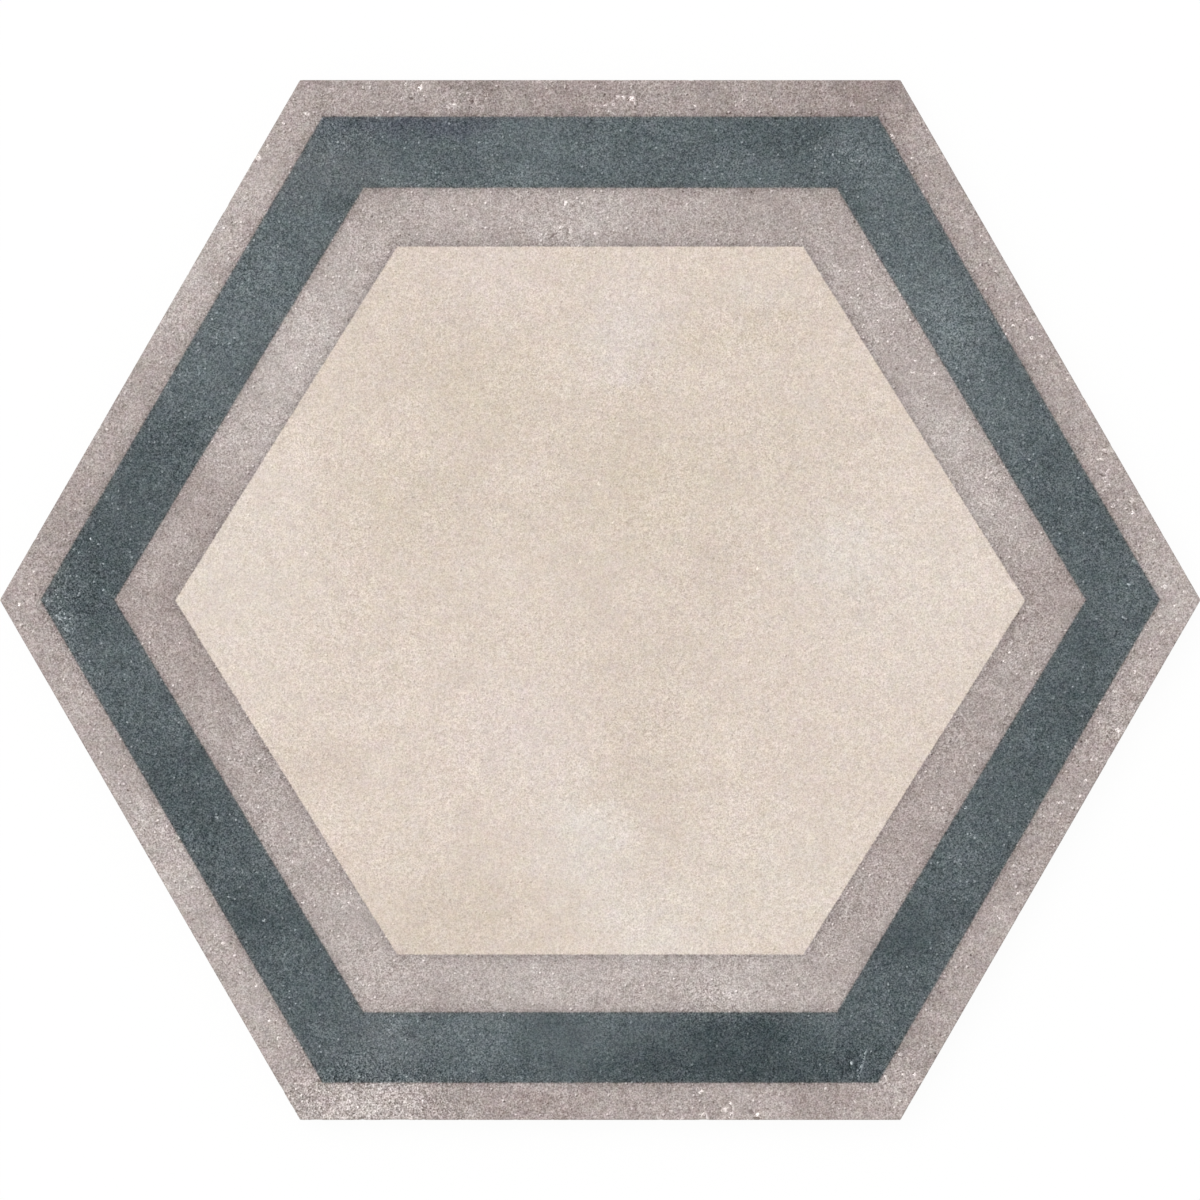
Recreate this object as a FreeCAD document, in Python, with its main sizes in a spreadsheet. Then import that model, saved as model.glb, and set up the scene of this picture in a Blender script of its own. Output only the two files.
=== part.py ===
import FreeCAD, Part
import math
import os

import Sketcher

# Hexagon floor tile, pressed and fired as one piece of glazed porcelain, in millimetres.
# Origin: centre of the back, on the plane that its ribs and rim stand on. The face looks
# along +Z, two corners lie on the X axis and two sides face along +Y and -Y.

doc = FreeCAD.newDocument("hexagon_floor_tile")

# Driving sizes, one named cell each: lengths in millimetres, drafts in degrees
SIZES = [
    ("across_flats", 230.0),
    ("thickness", 9.5),
    ("corner_radius", 1.2),
    ("arris_radius", 0.5),
    ("land_height", 5.0),
    ("skirt_draft", 5.0),
    ("back_bevel", 0.5),
    ("rim_width", 7.5),
    ("cell_pitch", 20.0),
    ("rib_width", 2.8),
    ("key_depth", 0.6),
    ("key_draft", 30.0),
]
sheet = doc.addObject("Spreadsheet::Sheet", "sizes")
for row, (name, value) in enumerate(SIZES, start=1):
    sheet.set(f"A{row}", name)
    sheet.set(f"B{row}", str(value))
    sheet.setAlias(f"B{row}", name)
doc.recompute()

# Derived sizes, as expressions of the cells
OUTLINE_RADIUS = "sizes.across_flats / sqrt(3)"
SKIRT_HEIGHT = "sizes.thickness - sizes.land_height"
FIELD_FLATS = "sizes.across_flats - 2 * sizes.rim_width"
FIELD_RADIUS = f"({FIELD_FLATS}) / sqrt(3)"
CELL_RADIUS = "(sizes.cell_pitch - sizes.rib_width) / sqrt(3)"
ROW_PITCH = "sizes.cell_pitch * cos(30 deg)"
# Rings of cells about the middle one, out to the last that still reaches into the field
RINGS = f"(ceil((({FIELD_FLATS}) / 2 + {CELL_RADIUS}) / ({ROW_PITCH})) - 1)"

# Point numbers of a sketch's geometry, and the sketch's own origin
LINE_START, LINE_END, CENTRE = 1, 2, 3
ORIGIN = (-1, 1)
TOLERANCE = 1e-4


def origin_feature(body, role):
    """The body's own origin plane or axis with this role."""
    return next(f for f in body.Origin.OriginFeatures if f.Role == role)


def new_sketch(body, name):
    """A sketch on the body's own XY plane."""
    sketch = body.newObject("Sketcher::SketchObject", name)
    sketch.AttachmentSupport = (origin_feature(body, "XY_Plane"), [""])
    sketch.MapMode = "FlatFace"
    return sketch


def bind(sketch, kind, *where, to):
    """Add a dimension to the sketch, tied to an expression."""
    index = sketch.addConstraint(Sketcher.Constraint(kind, *where, sketch.evalExpression(to)))
    sketch.setExpression(f"Constraints[{index}]", to)


def draw_hexagon(sketch, radius, alignment, shift=("0", "0")):
    """A regular hexagon about a construction circle, fully dimensioned.

    alignment is Horizontal for corners left and right, or Vertical for corners up and
    down. shift holds how far its centre lies towards -X and -Y of the origin.
    """
    up = FreeCAD.Vector(0, 0, 1)
    centre = FreeCAD.Vector(*(-sketch.evalExpression(distance) for distance in shift))
    spoke = FreeCAD.Vector(sketch.evalExpression(radius), 0, 0)
    first_angle = 0 if alignment == "Horizontal" else 90
    corners = [
        centre + FreeCAD.Rotation(up, first_angle + 60 * step).multVec(spoke) for step in range(6)
    ]
    circle = sketch.addGeometry(Part.Circle(centre, up, spoke.Length), True)
    sides = [
        sketch.addGeometry(Part.LineSegment(start, end), False)
        for start, end in zip(corners, corners[1:] + corners[:1])
    ]
    for side, following in zip(sides, sides[1:] + sides[:1]):
        sketch.addConstraint(Sketcher.Constraint("Coincident", side, LINE_END, following, LINE_START))
        sketch.addConstraint(Sketcher.Constraint("PointOnObject", side, LINE_START, circle))
    for side in sides[1:]:
        sketch.addConstraint(Sketcher.Constraint("Equal", sides[0], side))
    sketch.addConstraint(Sketcher.Constraint(alignment, circle, CENTRE, sides[0], LINE_START))
    bind(sketch, "DistanceX", circle, CENTRE, *ORIGIN, to=shift[0])
    bind(sketch, "DistanceY", circle, CENTRE, *ORIGIN, to=shift[1])
    bind(sketch, "Radius", circle, to=radius)


def level_faces(shape, height):
    """Names of the faces that lie level at this height."""
    return [
        f"Face{index}" for index, face in enumerate(shape.Faces, start=1)
        if max(abs(face.BoundBox.ZMin - height), abs(face.BoundBox.ZMax - height)) < TOLERANCE
    ]


def level_edges(shape, height):
    """Names of the edges that lie level at this height."""
    return [
        f"Edge{index}" for index, edge in enumerate(shape.Edges, start=1)
        if max(abs(edge.BoundBox.ZMin - height), abs(edge.BoundBox.ZMax - height)) < TOLERANCE
    ]


def upright_edges(shape):
    """Names of the straight edges that run along Z."""
    return [
        f"Edge{index}" for index, edge in enumerate(shape.Edges, start=1)
        if max(edge.BoundBox.XLength, edge.BoundBox.YLength) < TOLERANCE
    ]


def upright_faces(shape):
    """Names of the faces that stand square to the XY plane."""
    return [
        f"Face{index}" for index, face in enumerate(shape.Faces, start=1)
        if abs(face.normalAt(0, 0).z) < TOLERANCE
    ]


def drafted_prism(body, sketch, name):
    """Pad a sketch by the key depth, with walls that lean in by the key draft."""
    prism = body.newObject("PartDesign::Pad", name)
    prism.Profile = sketch
    prism.setExpression("Length", "sizes.key_depth")
    doc.recompute()
    walls = body.newObject("PartDesign::Draft", f"{name}_walls")
    walls.Base = (prism, upright_faces(prism.Shape))
    walls.NeutralPlane = (origin_feature(body, "XY_Plane"), [""])
    walls.setExpression("Angle", "sizes.key_draft")
    doc.recompute()
    return walls


# Pressed body: an upright land under the face, then a skirt that draws in to the back
tile = doc.addObject("PartDesign::Body", "hexagon_tile")
tile.Label = "hexagon_tile"

outline = new_sketch(tile, "outline")
outline.setExpression("AttachmentOffset.Base.z", SKIRT_HEIGHT)
draw_hexagon(outline, OUTLINE_RADIUS, "Horizontal")

land = tile.newObject("PartDesign::Pad", "land")
land.Profile = outline
land.setExpression("Length", "sizes.land_height")
doc.recompute()

corners = tile.newObject("PartDesign::Fillet", "corners")
corners.Base = (land, upright_edges(land.Shape))
corners.setExpression("Radius", "sizes.corner_radius")
doc.recompute()

skirt = tile.newObject("PartDesign::Pad", "skirt")
skirt.Profile = (corners, level_faces(corners.Shape, corners.Shape.BoundBox.ZMin))
skirt.setExpression("Length", SKIRT_HEIGHT)
skirt.setExpression("TaperAngle", "-sizes.skirt_draft")
doc.recompute()

# Edges: a fine rounded arris round the face, a bevel round the back
arris = tile.newObject("PartDesign::Fillet", "arris")
arris.Base = (skirt, level_edges(skirt.Shape, skirt.Shape.BoundBox.ZMax))
arris.setExpression("Radius", "sizes.arris_radius")
doc.recompute()

bevel = tile.newObject("PartDesign::Chamfer", "bevel")
bevel.Base = (arris, level_edges(arris.Shape, arris.Shape.BoundBox.ZMin))
bevel.setExpression("Size", "sizes.back_bevel")
doc.recompute()

# Keys of the back: one cell of a honeycomb, repeated along two rows at 120 degrees until
# the lozenge that they fill covers the whole tile, with the middle cell on the origin
keys = doc.addObject("PartDesign::Body", "honeycomb_keys")
cell = new_sketch(keys, "cell")
draw_hexagon(cell, CELL_RADIUS, "Vertical", (f"{RINGS} * sizes.cell_pitch / 2", f"{RINGS} * {ROW_PITCH}"))
drafted_prism(keys, cell, "key")

slant = new_sketch(keys, "slant")
slant_line = slant.addGeometry(Part.LineSegment(FreeCAD.Vector(), FreeCAD.Vector(-5, 9, 0)), True)
slant.addConstraint(Sketcher.Constraint("Coincident", slant_line, LINE_START, *ORIGIN))
slant.addConstraint(Sketcher.Constraint("Angle", slant_line, math.radians(120)))
bind(slant, "Distance", slant_line, to="sizes.cell_pitch")
doc.recompute()

rows = keys.newObject("PartDesign::LinearPattern", "rows")
rows.TransformMode = "Whole shape"
rows.Direction = (origin_feature(keys, "X_Axis"), [""])
rows.Direction2 = (slant, ["Axis0"])
for reach, count in (("Length", "Occurrences"), ("Length2", "Occurrences2")):
    rows.setExpression(reach, f"2 * {RINGS} * sizes.cell_pitch")
    rows.setExpression(count, f"2 * {RINGS} + 1")
keys.Tip = rows
doc.recompute()

# The keys stop at a straight rim: only what lies inside this hexagon is kept
field = doc.addObject("PartDesign::Body", "keyed_field")
field_outline = new_sketch(field, "field_outline")
draw_hexagon(field_outline, FIELD_RADIUS, "Horizontal")
drafted_prism(field, field_outline, "field")

trimmed = keys.newObject("PartDesign::Boolean", "trimmed_keys")
trimmed.Type = "Common"
trimmed.Group = [field]
keys.Tip = trimmed
doc.recompute()

# Pressing the keys into the back leaves its ribs and rim standing
keyed_back = tile.newObject("PartDesign::Boolean", "keyed_back")
keyed_back.Type = "Cut"
keyed_back.Group = [keys]
tile.Tip = keyed_back
doc.recompute()

# Nothing is written unless every feature is sound
for feature in doc.Objects:
    failed = [state for state in feature.State if state in ("Invalid", "Error")]
    if failed:
        raise RuntimeError(f"{feature.Name} is {failed[0]}")
if tile.Shape.isNull() or not tile.Shape.isValid():
    raise RuntimeError(f"{tile.Label} has no sound shape")

os.makedirs("parts", exist_ok=True)
tile.Shape.exportStep(f"parts/{tile.Label}.step")
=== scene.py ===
"""A hexagonal glazed porcelain floor tile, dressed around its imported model.

The tile is one fired piece. Its face, edges and keyed back are built as one mesh in
millimetres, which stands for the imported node, and three finishes cover it: the printed
matt glaze, the bare fired body and the washed ribs of the back.
"""

import functools
import logging
import math
from dataclasses import dataclass, field
from enum import Enum, IntEnum
from typing import ClassVar, Iterable, Sequence, Union

import bpy
import numpy as np
from mathutils import Matrix, Vector, geometry, noise

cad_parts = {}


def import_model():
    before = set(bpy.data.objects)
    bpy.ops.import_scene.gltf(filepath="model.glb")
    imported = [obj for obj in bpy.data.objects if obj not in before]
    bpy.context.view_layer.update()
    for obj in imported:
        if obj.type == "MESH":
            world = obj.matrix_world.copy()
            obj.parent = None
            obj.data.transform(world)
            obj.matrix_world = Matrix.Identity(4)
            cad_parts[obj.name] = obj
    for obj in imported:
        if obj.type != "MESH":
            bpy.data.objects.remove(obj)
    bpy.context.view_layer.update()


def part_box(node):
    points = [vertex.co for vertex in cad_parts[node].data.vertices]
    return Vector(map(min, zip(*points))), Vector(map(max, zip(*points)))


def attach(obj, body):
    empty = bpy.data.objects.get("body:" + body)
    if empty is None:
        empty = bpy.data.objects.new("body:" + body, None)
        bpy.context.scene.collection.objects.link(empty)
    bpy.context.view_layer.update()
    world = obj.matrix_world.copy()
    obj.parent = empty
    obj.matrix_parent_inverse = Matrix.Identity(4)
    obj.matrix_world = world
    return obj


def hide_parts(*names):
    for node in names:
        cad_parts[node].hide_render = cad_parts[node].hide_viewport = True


log = logging.getLogger("hexagon_tile")

MILLIMETRE = 0.001
LEVELS = 255.0
DISPLAY_GAMMA = 2.2
NOISE_GAIN = 8.0
COS_30 = math.cos(math.radians(30))
WHITE = (1.0, 1.0, 1.0, 1.0)

Socket = bpy.types.NodeSocket
Value = Union[Socket, float, Sequence[float]]
Triple = tuple[float, float, float]
Array = np.ndarray


class Skin(IntEnum):
    """Which finish a face of the tile wears, as the mesh's material number.

    The marked glazes come last, one for each upright strip of the face.
    """

    GLAZE = 0
    BODY = 1
    BACK = 2
    MARKED_GLAZE = 3


class Band(Enum):
    """The colours of the print, from the edge of the face to its middle."""

    OUTER_TAUPE = "outer_taupe"
    SLATE = "slate"
    INNER_TAUPE = "inner_taupe"
    CREAM = "cream"


@dataclass(frozen=True)
class PhotoFrame:
    """How the photograph frames the face: its pixels against the tile's millimetres."""

    width: float = 1200.0
    centre: tuple[float, float] = (600.2, 600.0)
    mm_per_pixel: tuple[float, float] = (0.2213, 0.2209)
    frame_width: float = 265.3

    def to_tile(self, x: float, y: float) -> Array:
        """Turn a pixel into a place in millimetres from the tile's centre."""
        return np.array((x - self.centre[0], self.centre[1] - y)) * self.mm_per_pixel


PHOTO = PhotoFrame()


@dataclass(frozen=True)
class Spot:
    """A soft oval spot on the face, placed on the photograph.

    Its middle, half length and half breadth are photograph pixels, and turn is degrees
    anticlockwise. change is what it does in its middle: a cloud or a mark shifts the
    display levels, and a patch makes the grain coarser by a share.
    """

    x: float
    y: float
    half_length: float
    half_breadth: float
    change: Union[float, Triple]
    turn: float = 0.0

    @property
    def centre(self) -> Array:
        """Its middle in millimetres."""
        return PHOTO.to_tile(self.x, self.y)

    @property
    def reach(self) -> Array:
        """Its half length and half breadth in millimetres."""
        return np.array((self.half_length, self.half_breadth)) * PHOTO.mm_per_pixel

    def cover(self, points: Array) -> Array:
        """How much of the spot each point gets.

        Args:
            points: The points in millimetres, one row each.

        Returns:
            For each point 1 in the middle of the spot and 0 at its edge or beyond.
        """
        turn = math.radians(self.turn)
        spin = np.array([[math.cos(turn), -math.sin(turn)], [math.sin(turn), math.cos(turn)]])
        away = np.linalg.norm((points - self.centre) @ spin / self.reach, axis=1).clip(0.0, 1.0)
        return 1.0 - away * away * (3.0 - 2.0 * away)


def grey(level: float) -> Triple:
    """A shift that moves all three colours alike."""
    return (level, level, level)


def rosy(level: float) -> Triple:
    """A shift that leaves a little more red."""
    return (level + 1.0, level - 0.6, level - 0.4)


def cool(level: float) -> Triple:
    """A shift that leaves a little more green and blue."""
    return (level - 0.7, level + 0.5, level + 0.2)


# Soft clouds in each band of the print
CLOUDS = {
    Band.OUTER_TAUPE: (
        Spot(312, 92, 60, 44, grey(-7)), Spot(446, 103, 40, 32, grey(6)),
        Spot(480, 94, 80, 60, grey(-18)), Spot(476, 82, 48, 22, grey(-8)),
        Spot(582, 96, 70, 60, rosy(-13)), Spot(648, 96, 46, 44, grey(-9)),
        Spot(745, 103, 50, 40, grey(-7)), Spot(707, 96, 60, 60, grey(-9)),
        Spot(845, 98, 120, 70, rosy(-16)), Spot(900, 84, 46, 42, grey(-10)),
        Spot(930, 185, 170, 60, grey(-5), turn=-60), Spot(192, 262, 160, 60, cool(13), turn=60),
        Spot(268, 182, 56, 40, grey(11)), Spot(66, 520, 90, 60, grey(-7), turn=60),
        Spot(120, 760, 300, 60, grey(2.5), turn=-60), Spot(1043, 846, 70, 40, grey(-6), turn=60),
        Spot(1000, 922, 70, 44, grey(6), turn=60), Spot(168, 862, 150, 60, cool(15), turn=-60),
        Spot(148, 848, 42, 36, grey(-9)), Spot(255, 1000, 100, 60, cool(11), turn=-60),
        Spot(302, 1117, 38, 28, grey(-9)), Spot(360, 1100, 98, 60, cool(14)),
        Spot(440, 1097, 50, 50, grey(-6)), Spot(540, 1112, 80, 36, rosy(-9)),
        Spot(530, 1087, 40, 16, grey(7)), Spot(688, 1116, 38, 22, grey(-10)),
        Spot(740, 1107, 70, 50, grey(7)), Spot(827, 1100, 50, 50, rosy(-8)),
        Spot(880, 1086, 50, 32, grey(11)), Spot(925, 1030, 84, 50, grey(-5), turn=60),
        Spot(1178, 592, 78, 62, cool(13)), Spot(843, 1086, 38, 30, grey(8)),
        Spot(554, 84, 42, 26, grey(-7)), Spot(388, 109, 40, 32, grey(-7)),
        Spot(1141, 639, 44, 36, grey(7), turn=60), Spot(225, 220, 38, 36, grey(-6)),
        Spot(1148, 518, 38, 36, grey(6)),
    ),
    Band.SLATE: (
        Spot(600, 1084, 360, 46, grey(-7)), Spot(150, 760, 330, 90, grey(-2.5), turn=-60),
        Spot(325, 168, 95, 56, (14.5, 12, 11.5)), Spot(402, 172, 50, 40, grey(7)),
        Spot(353, 128, 40, 28, grey(-6)), Spot(240, 320, 150, 70, grey(10), turn=60),
        Spot(320, 228, 50, 50, grey(8)), Spot(550, 158, 115, 75, grey(11)),
        Spot(597, 136, 44, 36, grey(-7)), Spot(420, 122, 160, 26, (-6, -9, -4.5)),
        Spot(790, 138, 95, 55, grey(-8)), Spot(768, 178, 60, 36, grey(10)),
        Spot(901, 185, 44, 44, grey(6)), Spot(1042, 471, 44, 40, grey(-6)),
        Spot(830, 186, 40, 34, grey(-8)), Spot(862, 166, 66, 66, grey(8)),
        Spot(847, 128, 50, 38, grey(8)), Spot(950, 325, 220, 75, grey(15), turn=-60),
        Spot(176, 462, 90, 70, grey(-10)), Spot(95, 560, 100, 80, grey(-13), turn=-60),
        Spot(52, 590, 36, 36, (10, 8, 7)), Spot(185, 790, 110, 70, grey(-6), turn=-60),
        Spot(240, 905, 130, 80, grey(-7), turn=-60), Spot(385, 1044, 80, 66, (13, 11, 11)),
        Spot(478, 1066, 50, 40, grey(6)), Spot(472, 1032, 70, 60, grey(5)),
        Spot(745, 1058, 175, 80, grey(-21)), Spot(823, 1028, 58, 40, grey(8)),
        Spot(765, 1025, 80, 28, grey(-7)), Spot(862, 1070, 66, 52, grey(-9)),
        Spot(893, 945, 90, 80, grey(-10), turn=60), Spot(950, 925, 54, 44, grey(-6)),
        Spot(1082, 705, 110, 80, grey(-6), turn=60), Spot(488, 1016, 56, 28, grey(9)),
        Spot(650, 1030, 50, 36, grey(8)), Spot(708, 1059, 44, 40, grey(7)),
        Spot(78, 655, 50, 44, grey(8), turn=-60), Spot(339, 216, 36, 34, grey(-8)),
        Spot(571, 170, 46, 34, grey(-7)), Spot(533, 120, 44, 26, grey(6)),
        Spot(862, 977, 40, 38, grey(6)), Spot(437, 1052, 34, 36, grey(-6)),
    ),
    Band.INNER_TAUPE: (
        Spot(365, 210, 64, 56, grey(-9)), Spot(465, 210, 50, 44, grey(6)),
        Spot(587, 218, 80, 60, cool(5)), Spot(770, 215, 120, 66, grey(-11)),
        Spot(771, 243, 48, 26, grey(7)), Spot(845, 205, 46, 42, grey(-7)),
        Spot(300, 360, 180, 65, cool(14), turn=60), Spot(195, 500, 70, 60, rosy(-11)),
        Spot(203, 548, 80, 46, grey(-9), turn=60), Spot(160, 620, 120, 80, rosy(-10), turn=-50),
        Spot(335, 935, 90, 60, cool(5), turn=-60), Spot(240, 760, 260, 60, grey(-3.5), turn=-60),
        Spot(258, 755, 60, 44, grey(-4), turn=-60), Spot(600, 985, 330, 60, grey(4)),
        Spot(398, 958, 56, 38, grey(4)), Spot(533, 985, 90, 60, cool(7)),
        Spot(642, 957, 56, 30, cool(8)), Spot(747, 982, 90, 60, cool(7)),
        Spot(846, 920, 60, 44, grey(-7)), Spot(910, 815, 190, 70, rosy(-9.5), turn=60),
        Spot(1008, 672, 100, 46, grey(-8), turn=60), Spot(951, 739, 44, 40, grey(-5)),
        Spot(948, 436, 84, 54, cool(8), turn=-60), Spot(1053, 593, 90, 80, rosy(-13)),
        Spot(979, 519, 46, 46, cool(8)), Spot(1073, 609, 36, 42, cool(8)),
        Spot(312, 827, 40, 38, grey(7)), Spot(1044, 658, 36, 36, grey(-7)),
        Spot(365, 911, 38, 36, grey(6.5)),
    ),
    Band.CREAM: (
        Spot(560, 430, 420, 330, (-5, -5, -6.5)), Spot(650, 495, 120, 100, (-2.5, -2, -4.5)),
        Spot(480, 388, 80, 70, (-1.5, -1, -3.5)), Spot(388, 500, 80, 80, (-2, -1.5, -3.5)),
        Spot(780, 450, 110, 90, (-2.5, -2, -3)), Spot(415, 320, 110, 120, grey(-4)),
        Spot(820, 300, 100, 90, grey(-3)), Spot(660, 740, 110, 190, (-5, -5, -6)),
        Spot(455, 915, 150, 90, (-7, -7, -9)), Spot(495, 275, 100, 80, (2, 2, 5)),
        Spot(630, 310, 80, 110, (2, 3, 6)), Spot(515, 730, 110, 90, (2, 2.5, 5.5)),
        Spot(500, 579, 60, 60, (4, 4.5, 5)), Spot(590, 368, 60, 50, (3.5, 4, 5)),
        Spot(532, 468, 44, 44, (3, 3, 4)), Spot(279, 484, 44, 50, (3, 3, 4)),
        Spot(585, 850, 75, 140, (2, 5, 7), turn=25), Spot(655, 935, 80, 70, (2, 5, 6.5)),
        Spot(835, 553, 80, 70, (1, 4, 6)), Spot(864, 430, 56, 66, grey(-3.5)),
        Spot(720, 572, 80, 70, grey(-4)), Spot(864, 595, 44, 44, grey(-3)),
        Spot(930, 590, 200, 190, (3, 4.5, 5.5)), Spot(770, 880, 170, 120, (2, 4, 4)),
        Spot(235, 560, 130, 220, (2, 4, 5)), Spot(350, 840, 130, 110, (1, 1.5, 1)),
        Spot(627, 373, 38, 16, (4, 5, 8), turn=8), Spot(620, 335, 65, 42, (1, 3, 5)),
        Spot(807, 403, 24, 16, (2, 4, 7)), Spot(757, 290, 48, 22, (2, 4, 5)),
        Spot(700, 343, 75, 20, (-1, -1, -3)), Spot(775, 338, 55, 17, (-5, -5, -7)),
        Spot(780, 313, 42, 11, (-4, -4, -6)), Spot(612, 827, 56, 48, (3.5, 5.5, 6.5)),
        Spot(704, 741, 66, 56, (5, 5.5, 5)), Spot(322, 768, 56, 50, (-4.5, -5.5, -6)),
        Spot(399, 949, 52, 36, grey(-4.5)), Spot(345, 863, 46, 46, (-3.5, -5.5, -5)),
        Spot(661, 949, 52, 36, (4, 4.5, 5)), Spot(431, 512, 52, 52, grey(-4.5)),
        Spot(375, 712, 40, 24, (2, 3, 4)), Spot(587, 812, 45, 20, (1, 3, 4), turn=20),
    ),
}
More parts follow.
